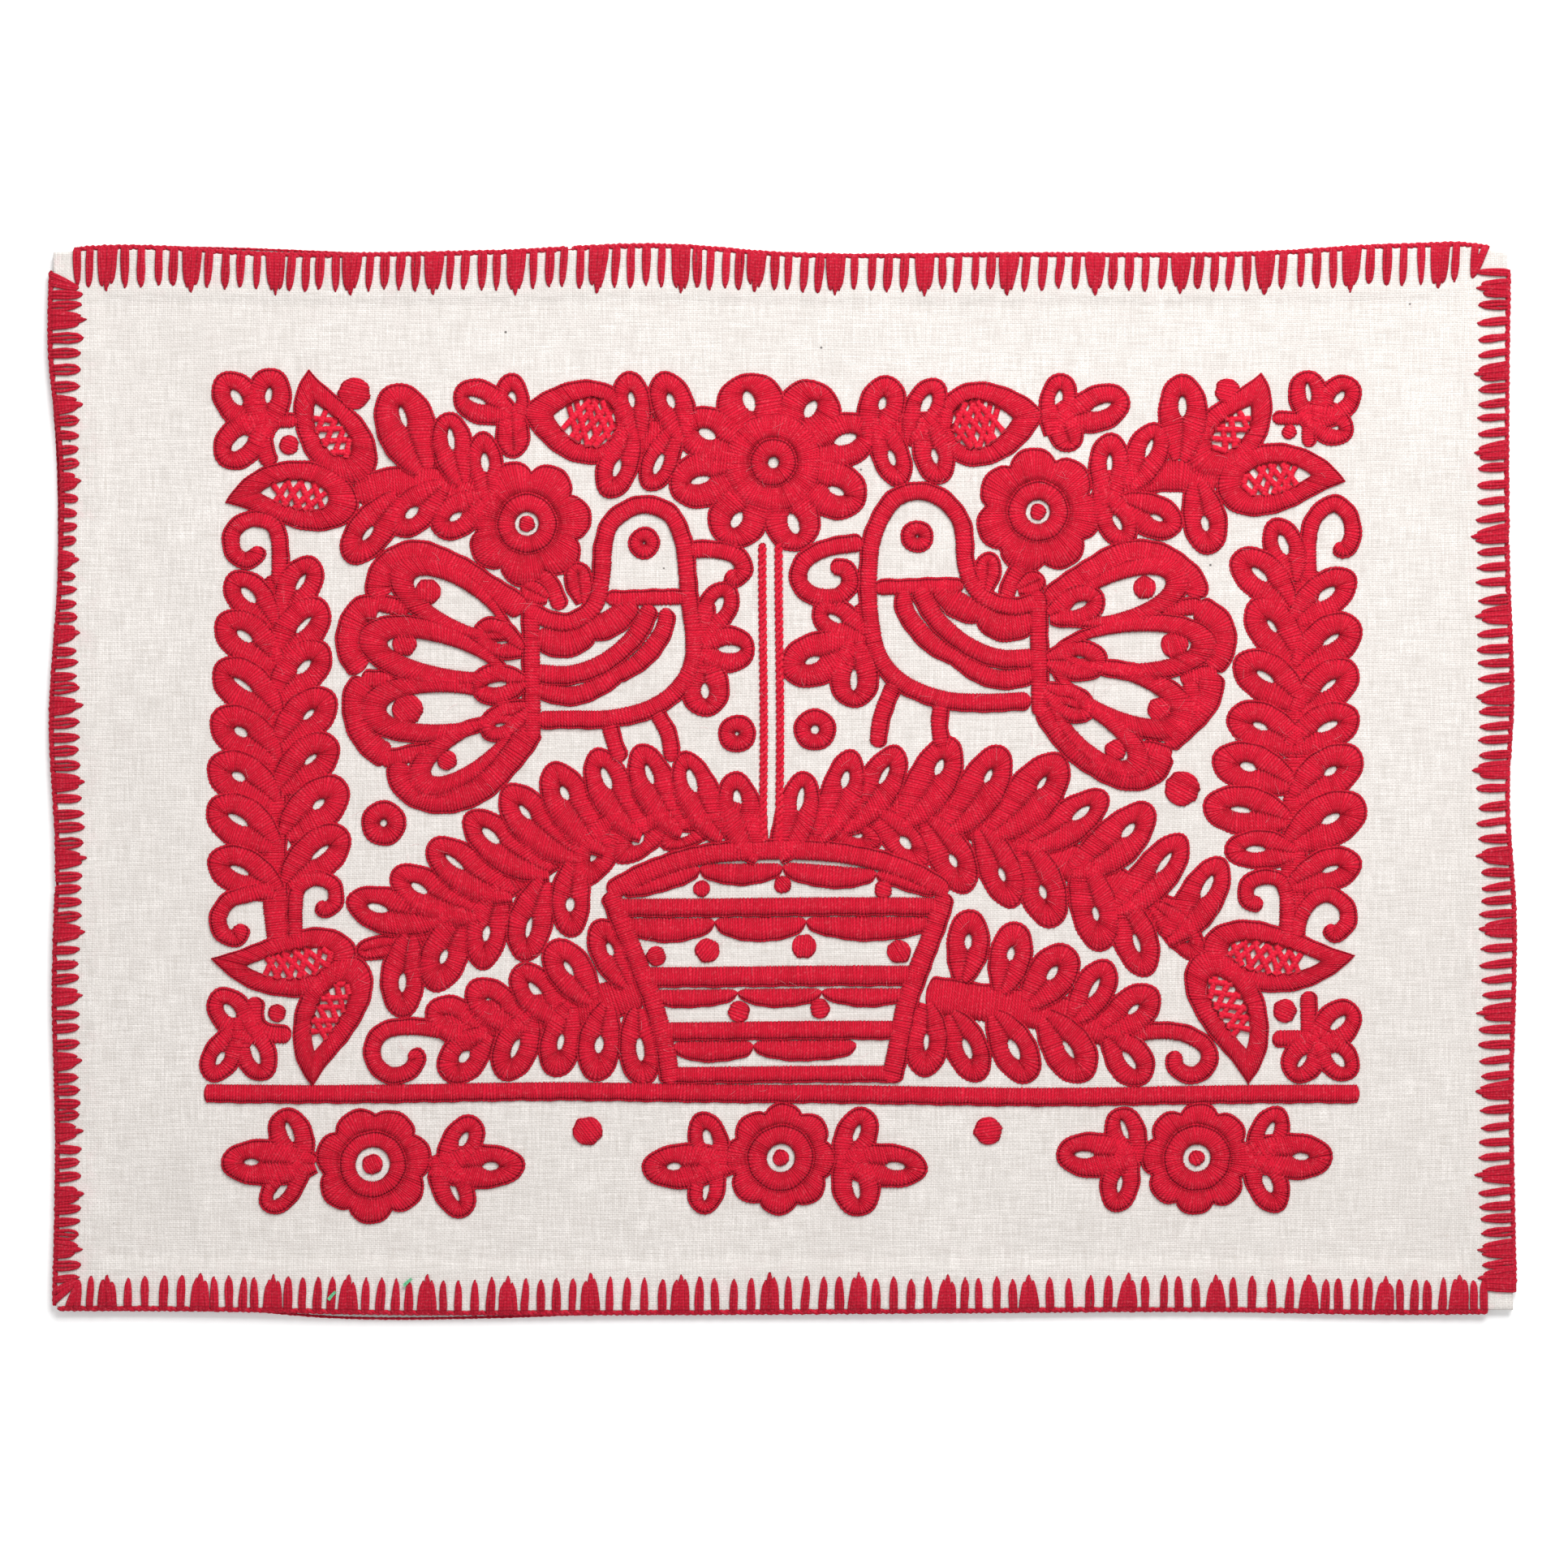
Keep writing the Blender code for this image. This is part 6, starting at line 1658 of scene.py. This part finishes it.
@dataclass
class Embroidery:
    """Raised work on the front sheet, one piece for each solid."""

    shape: ClothShape
    finishes: Finishes
    needle: Needlework = field(default_factory=Needlework)
    yarn: Yarn = field(default_factory=Yarn)
    ground: float = 2.65

    @staticmethod
    def by_hand(outline: Floats) -> Floats:
        """Moves a flat outline by the slow wander of hand work: two sines across and two along."""
        x, y = outline[:, 0], outline[:, 1]
        across = 0.35 * np.sin(0.041 * y + 0.6) + 0.25 * np.sin(0.083 * x + 1.7)
        along = 0.35 * np.sin(0.033 * x + 0.4) + 0.25 * np.sin(0.071 * y + 2.1)
        return outline[:, :2] + np.stack([across, along], 1)

    def placed(self, outline: Floats) -> Floats:
        """A flat outline in the frame of the solids."""
        return self.by_hand(outline) + self.shape.shift

    def net_yarn(self, ends: Floats, number: int, rng: np.random.Generator) -> Tube:
        """Yarn across a window, arched between its ends, or a stem's ply with its own heights."""
        if ends.shape[1] == 3:
            flat, rise = self.placed(ends), ends[:, 2]
            radii = np.full(len(ends), 1.05)
        else:
            share = np.linspace(0, 1, 9)[:, None]
            flat = self.placed(ends[:1] * (1 - share) + ends[1:] * share)
            arch = np.sin(np.pi * share[:, 0])
            rise = 0.35 + 0.3 * arch + 0.3 * (number % 2)
            radii = 1.45 + 0.16 * ripple(share[:, 0], (0.7, 0.31), rng)
        path = np.column_stack([flat, self.ground + 0.2 + rise])
        return self.yarn.tube(path, radii, float(rng.normal(0, 0.3)))

    def build(self, drawing: Drawing) -> None:
        """Works every motif of a drawing.

        Args:
            drawing: The bands and yarns by solid.
        """
        for node, bands in drawing.bands.items():
            rng = seeded(node)
            parts = MeshParts()
            for band in bands:
                parts.add(self.needle.tube(band.moved(self.placed), self.ground, rng))
            for number, ends in enumerate(drawing.yarns.get(node, [])):
                parts.add(self.net_yarn(ends, number, rng))
            place_piece(parts.build("worked_" + node), self.finishes.wool, Slot.WOOL, node)


@dataclass
class BlanketStitch:
    """Blanket stitch round the front sheet, and the ridge of the back sheet's own."""

    shape: ClothShape
    finishes: Finishes
    yarn: Yarn = field(default_factory=Yarn)
    bar_width: float = 3.9
    bar_pitch: float = 6.2
    half_block: float = 4.5
    most_between: int = 4
    block_extra: float = 1.8
    block_lane: float = 3.0
    block_tip: float = 1.9
    block_short: float = 2.9
    block_yarns: float = 3.6
    fan_width: float = 3.7
    close: float = 0.05
    strand_radius: float = 0.8
    ridge_radius: float = 0.92
    ridge_pitch: float = 6.0
    back_ridge_radius: float = 0.5
    back_ridge_height: float = 0.74
    stitches: dict[Side, Triple] = by_side(
        (12.5, 20.0, 1.0), (12.0, 20.0, 1.0), (17.5, 16.0, 1.2), (12.0, 10.5, 1.05))
    blocks: dict[Side, tuple[float, ...]] = by_side(
        (24, 63, 101, 137, 174.5, 212.5, 251, 288.5, 324.5, 361, 401.5, 441, 480.5, 520.5, 559.5, 599.5,
         640.5),
        (24, 66, 99.5, 134.5, 171, 208.5, 247, 288.5, 330, 371, 411.5, 450.5, 495.5, 536, 579, 614.5, 648.5),
        (32, 70.5, 106.5, 142, 177, 210, 245.5, 281.5, 315, 345, 374.5, 407.5, 436.5, 461.5),
        (16, 54.5, 91, 130, 168, 204.5, 239.5, 279, 313, 351, 388, 426.5, 460.5, 474))
    lengths: dict[Side, Table] = by_side(
        ((0, 16.4), (0.3, 17.2), (0.7, 16.8), (1, 16.4)),
        ((0, 14.4), (0.5, 14.8), (1, 14.4)),
        ((0, 13.5), (0.1, 12.8), (0.2, 8.2), (0.3, 7.2), (0.42, 11), (0.52, 12), (0.65, 10.8), (0.8, 10.2),
         (1, 10.6)),
        ((0, 13), (0.3, 14.4), (0.6, 14), (1, 13.8)))
    slants: dict[Side, float] = by_side(-0.7, 0.3, -0.6, 1.0)
    looseness: dict[Side, float] = by_side(0.1, 0.1, 0.22, 0.15)
    ridge_runs: dict[Side, tuple[Point, ...]] = by_side(
        ((11.0, 236.0), (238.5, 664.0)), ((0.5, 661.0),), ((8.5, 289.0), (296.0, 488.5)),
        ((8.5, 131.0), (134.5, 236.0), (239.0, 479.0)))

    def bars(self, side: Side) -> list[tuple[float, float, float, float, bool]]:
        """Place, width, length, slant and whether it is a block, of each bar on a side."""
        start, end, fatness = self.stitches[side]
        half = self.half_block
        stops = [start - half, *self.blocks[side], self.shape.length(side) - end + half]
        places = [(block, True) for block in self.blocks[side]]
        for one, other in zip(stops, stops[1:]):
            gap = other - one - 2 * half
            count = min(self.most_between, max(0, round(gap / self.bar_pitch)))
            places += [(one + half + gap * (k + 0.5) / count, False) for k in range(count)]
        rows = []
        salt = side.value + 1
        for number, (middle, is_block) in enumerate(sorted(places)):
            place = middle + 0.45 * hand(number, salt + 5)
            width = self.bar_width * fatness * (1 + 0.12 * hand(number, salt))
            length = float(smooth_table(self.lengths[side], np.array([place / self.shape.length(side)]))[0])
            length *= 1 + 0.06 * hand(number, salt + 9)
            length += self.block_extra * is_block
            slant = 0.7 * hand(number, salt + 13) + self.slants[side]
            rows.append((place, width, length, slant, is_block))
        return rows

    def lay(self, side: Side, along: Floats, inward: Floats, above: Floats) -> Floats:
        """Path over the front sheet, from a side's measures and the height above the cloth."""
        x, y = self.shape.from_side(side, along, inward)
        px, py, _, _ = self.shape.laid(x, y)
        return np.stack([px, py, self.shape.front_height(x, y) + above], 1)

    def bundle(self, side: Side, foot: float, tip: Point, width: float, loose: float, number: int,
               rng: np.random.Generator, depth: float = -1.4) -> list[Tube]:
        """Bar of three yarns that start side by side at the edge and meet at the tip.

        Args:
            side: The side that it stands on.
            foot: Distance along the side at which it starts.
            tip: Where it goes into the cloth: distance along the side, and in from it.
            width: Full width.
            loose: How far the yarns bow apart.
            number: Its number, for the unevenness of its yarns.
            rng: Random numbers for the yarns' tones.
            depth: Distance in from the edge at which it starts.

        Returns:
            The yarns' tubes.
        """
        share = np.array([0.0, 0.09, 0.3, 0.58, 0.84, 0.95, 1.0])
        above = np.array([-1.1, 0.55, 0.72, 0.74, 0.62, 0.35, -0.35])
        spread = np.array([0.8, 0.95, 1.0, 0.97, 0.72, 0.4, 0.12])
        yarns = []
        for k, lane in enumerate((-1, 1, 0)):
            bow = loose * np.sin(np.pi * share) * (0.6 + 0.4 * hand(number, k))
            aside = lane * (width / 2 - self.strand_radius) * (spread + bow)
            aside = aside + 0.25 * hand(number, k + 3) * np.sin(2 * np.pi * share)
            end = 1 - 0.05 * (lane != 0) * (1 + hand(number, k + 7))
            along = foot + (tip[0] - foot) * share + aside
            inward = depth + (tip[1] * end - depth) * share
            radii = self.strand_radius * np.array([0.85, 1.0, 1.02, 1.0, 0.94, 0.75, 0.4])
            lift = 0.22 * (lane == 0) * np.array([0, 1, 1, 1, 0.8, 0.4, 0])
            path = self.lay(side, along, inward, above + lift)
            yarns.append(self.yarn.tube(path, radii, float(rng.normal(0, 0.35)), dark_ends=True))
        return yarns

    def fans(self, side: Side) -> list[tuple[float, Point]]:
        """Feet and tips of the slanting bars at a side's two corners.

        Each is a foot along the side, with its tip as distance along the side and in from it.
        """
        end = self.shape.length(side)
        rows: tuple[tuple[tuple[float, Point], ...], ...] = (
            ((10.5, (10.8, 16.0)), (end - 10.0, (end - 16.0, 13.2)), (end - 15.0, (end - 16.2, 13.6))),
            ((5.5, (9.6, 12.4)), (9.5, (10.2, 13.0)), (end - 17.0, (end - 17.2, 13.6)),
             (end - 12.5, (end - 13.0, 13.8))),
            ((10.5, (16.4, 11.4)), (14.0, (17.0, 11.6)), (end - 2.0, (end - 12.6, 9.6)),
             (end - 7.0, (end - 12.8, 10.2)), (end - 13.0, (end - 14.2, 10.6))),
            ((9.0, (10.6, 15.0)), (end - 9.5, (end - 10.5, 14.2))))
        return list(rows[side.value])

    def rope(self, path: Floats, radius: float, pitch: float, rng: np.random.Generator) -> list[Tube]:
        """Two plies wound round a path, each a helix about it.

        Args:
            path: Middle line, with points about a millimetre apart.
            radius: Radius of one ply.
            pitch: Length of one full twist.
            rng: Random numbers for the twist's start and the plies' tones.

        Returns:
            The plies' tubes.
        """
        along = travelled(path)
        aside = np.column_stack([left_of(path), np.zeros(len(path))])
        begin = rng.uniform(0, 2 * np.pi)
        wave = 2 * np.pi * along / pitch + 0.6 * ripple(along, (21.0, 47.0), rng)
        plies = []
        for start in (0.0, np.pi):
            turn = wave + begin + start
            ply = path + 0.62 * radius * (aside * np.cos(turn)[:, None])
            ply[:, 2] += 0.62 * radius * np.sin(turn)
            radii = radius * (1 + 0.1 * ripple(along, (7.0, 17.0), rng))
            radii[[0, -1]] *= 0.5
            plies.append(self.yarn.tube(ply, radii, float(rng.normal(0, 0.3))))
        return plies

    def ridge(self, side: Side, start: float, stop: float, rng: np.random.Generator) -> list[Tube]:
        """Purl along the front sheet's edge, pulled in a little at each bar."""
        along = np.arange(start, stop, 1.3)
        tug = 0.35 * np.cos(2 * np.pi * along / 6.6 + side.value)
        x, y = self.shape.from_side(side, along, -0.75 + 0.3 * tug)
        px, py, lift, _ = self.shape.laid(x, y)
        z = self.shape.front_top + lift - 0.1 + 0.4 * tug
        return self.rope(np.stack([px, py, z], 1), self.ridge_radius, self.ridge_pitch, rng)

    def back_ridge(self, side: Side, rng: np.random.Generator) -> list[Tube]:
        """Purl along the back sheet's edge."""
        start, end, _ = self.stitches[side]
        along = np.arange(start, self.shape.length(side) - end, 2.0)
        x, y = self.shape.from_side(side, along, np.full(len(along), -1.1))
        px, py, _, _ = self.shape.laid(x, y, is_back=True)
        z = np.full(len(px), self.back_ridge_height)
        return self.rope(np.stack([px, py, z], 1), self.back_ridge_radius, self.ridge_pitch, rng)

    def build(self) -> None:
        """Stitches all four sides of both sheets."""
        for side in Side:
            rng = seeded("edge " + side.word)
            parts = MeshParts()
            loose = self.looseness[side]
            for number, (place, width, length, slant, is_block) in enumerate(self.bars(side)):
                if not is_block:
                    tip = (place + slant, length)
                    parts.add(*self.bundle(side, place, tip, width, loose, number, rng))
                    continue
                for k, lane in enumerate((-1, 1, 0)):
                    short = self.block_short * (lane != 0) * (1 + 0.3 * hand(number, k + 20))
                    tip = (place + slant + self.block_tip * lane, length - short)
                    parts.add(*self.bundle(side, place + self.block_lane * lane, tip, self.block_yarns,
                                           self.close, number + 3 * k, rng))
            for number, (foot, tip) in enumerate(self.fans(side), start=500):
                parts.add(*self.bundle(side, foot, tip, self.fan_width, self.close, number, rng))
            for start, stop in self.ridge_runs[side]:
                parts.add(*self.ridge(side, start, stop, rng))
            place_piece(parts.build("stitched_" + side.word), self.finishes.edge, Slot.WOOL,
                        "edging_" + side.word)
            place_piece(MeshParts(self.back_ridge(side, rng)).build("back_stitched_" + side.word),
                        self.finishes.edge, Slot.WOOL, "back_edging_" + side.word)


@dataclass
class LooseEnds:
    """Two snips of green thread at the lower hem, and fibres that stand out of the wool."""

    shape: ClothShape
    finishes: Finishes
    snips: tuple[Triple, ...] = ((-208.4, -238.2, 48.0), (-173.4, -232.0, 42.0))
    snip_length: float = 5.2
    snip_radius: float = 0.36
    fibre_count: int = 260
    fibre_lengths: Point = (2.5, 6.5)
    fibre_radius: float = 0.05

    def snip_tubes(self, x: float, y: float, heading: float, rng: np.random.Generator) -> list[Tube]:
        """Three strands of one thread end, fanned at its far end."""
        share = np.linspace(0, 1, 8)
        tubes = []
        for lane in (-1, 0, 1):
            ahead, aside = direction(heading), direction(heading + 90)
            flat = np.array([x, y]) + self.snip_length * (share[:, None] - 0.5) * ahead
            spread = lane * (0.25 + 0.5 * share**2) + 0.3 * np.sin(3 * share + lane)
            flat = flat + aside * spread[:, None]
            z = self.shape.front_height(flat[:, 0], flat[:, 1]) + 1.75 + 0.3 * share + 0.1 * lane
            radii = self.snip_radius * np.array([0.6, 1, 1, 1, 1, 0.95, 0.8, 0.4])
            path = np.column_stack([flat + self.shape.shift, z])
            tubes.append(Yarn(6).tube(path, radii, float(rng.normal(0, 0.4))))
        return tubes

    def fibres(self) -> list[Tube]:
        """Hair-fine curved fibres over the embroidered field."""
        rng = seeded("fibres")
        share = np.linspace(0, 1, 6)
        tubes = []
        for _ in range(self.fibre_count):
            at = np.array([rng.uniform(-262, 262), rng.uniform(-146, 188)])
            heading, bend = rng.uniform(0, 360), rng.uniform(-50, 50)
            length = rng.uniform(*self.fibre_lengths)
            turn = np.radians(heading + bend * share)
            steps = np.stack([np.cos(turn), np.sin(turn)], 1) * length / 5
            flat = at + np.cumsum(steps, axis=0)
            z = self.shape.front_top + 1.62 + 0.22 * np.sin(np.pi * share)
            tubes.append(Yarn(3).tube(np.column_stack([flat + self.shape.shift, z]),
                                      np.full(6, self.fibre_radius), float(rng.normal(0, 0.4))))
        return tubes

    def build(self) -> None:
        """Lays the snips and the fibres."""
        rng = seeded("snips")
        for number, row in enumerate(self.snips, start=1):
            parts = MeshParts(self.snip_tubes(*row, rng))
            place_piece(parts.build(f"thread_snip_{number}"), self.finishes.snip, Slot.WOOL)
        place_piece(MeshParts(self.fibres()).build("loose_fibres"), self.finishes.fibre, Slot.WOOL)


@dataclass
class Studio:
    """Floor, lights and camera."""

    view_width: float = 0.7266
    view_centre: Point = (0.00075, -0.0013)
    distance: float = 3.0
    sensor: float = 36.0
    room_light: float = 0.51
    floor_glow: float = 0.1
    floor_reach: float = 4.0
    floor_drop: float = 0.0002
    lamps: tuple[tuple[str, Triple, float, float], ...] = (
        ("key_light", (0.5, 1.3, 1.4), 1.15, 42.0), ("fill_light", (-1.6, -0.9, 2.4), 2.4, 9.5))

    def build(self) -> None:
        """Sets up the pale floor, soft light and the camera straight above."""
        scene = bpy.context.scene
        scene.view_settings.view_transform = "Standard"
        mesh = bpy.data.meshes.new("floor")
        reach = self.floor_reach
        corners = [(x * reach, y * reach, -self.floor_drop) for x, y in ((-1, -1), (1, -1), (1, 1), (-1, 1))]
        mesh.from_pydata(corners, [], [(0, 1, 2, 3)])
        floor = linked("floor", mesh)
        paint, _, shader = new_material("floor_paint", 0.9, 0.1)
        shader.inputs["Base Color"].default_value = (0.98, 0.98, 0.98, 1.0)
        shader.inputs["Emission Color"].default_value = (1.0, 1.0, 1.0, 1.0)
        shader.inputs["Emission Strength"].default_value = self.floor_glow
        mesh.materials.append(paint)
        for name, place, size, power in self.lamps:
            light = bpy.data.lights.new(name, "AREA")
            light.size = size
            light.energy = power
            lamp = linked(name, light)
            lamp.location = place
            lamp.rotation_mode = "QUATERNION"
            lamp.rotation_quaternion = self.aim(-np.array(place) / np.linalg.norm(place))
        world = bpy.data.worlds.new("room")
        world.use_nodes = True
        back = world.node_tree.nodes["Background"]
        back.inputs["Color"].default_value = (1.0, 1.0, 1.0, 1.0)
        back.inputs["Strength"].default_value = self.room_light
        scene.world = world
        camera = bpy.data.cameras.new("camera")
        camera.sensor_width = self.sensor
        camera.lens = self.sensor * self.distance / self.view_width
        scene.camera = linked("camera", camera)
        scene.camera.location = (*self.view_centre, self.distance)

    @staticmethod
    def aim(towards: Floats) -> Colour:
        """Quaternion that turns straight down to a direction, by the half-angle formula."""
        down = np.array([0.0, 0.0, -1.0])
        axis = np.cross(down, towards)
        whole = np.array([1 + float(down @ towards), *axis])
        return tuple(whole / np.linalg.norm(whole))


def drawing_shift(node: str, at: Point) -> Floats:
    """How far the solids' frame lies from the drawing's, read from one round solid.

    Args:
        node: Name of the solid.
        at: Its centre in the drawing, before the wander of hand work.

    Returns:
        The shift in millimetres.
    """
    low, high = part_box(node)
    centre = np.array([(low[k] + high[k]) / 2 for k in range(2)]) / MM
    return centre - Embroidery.by_hand(np.array([at]))[0]


def main() -> None:
    """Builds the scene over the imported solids."""
    logging.basicConfig(level=logging.INFO, format="%(name)s: %(message)s")
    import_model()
    Studio().build()
    finishes = Finishes.make()
    shape = ClothShape(shift=drawing_shift("dot_bottom_left", (-90.5, -162.0)))
    LOG.info("drawing shift %s", shape.shift)
    sheets = Sheets(shape)
    back = sheets.mesh("cloth_back", True)
    front = sheets.mesh("cloth_front", False)
    place_piece(back, finishes.cotton, Slot.CLOTH, "back_panel")
    place_piece(front, finishes.cotton, Slot.CLOTH, "front_panel")
    drawing = Drawing()
    for motifs in (MiddleLine(), SideSprays(), Corners(), Garland(), Birds(), LowerField()):
        motifs.draw(drawing)
    Embroidery(shape, finishes).build(drawing)
    BlanketStitch(shape, finishes).build()
    LooseEnds(shape, finishes).build()


if __name__ == "__main__":
    main()
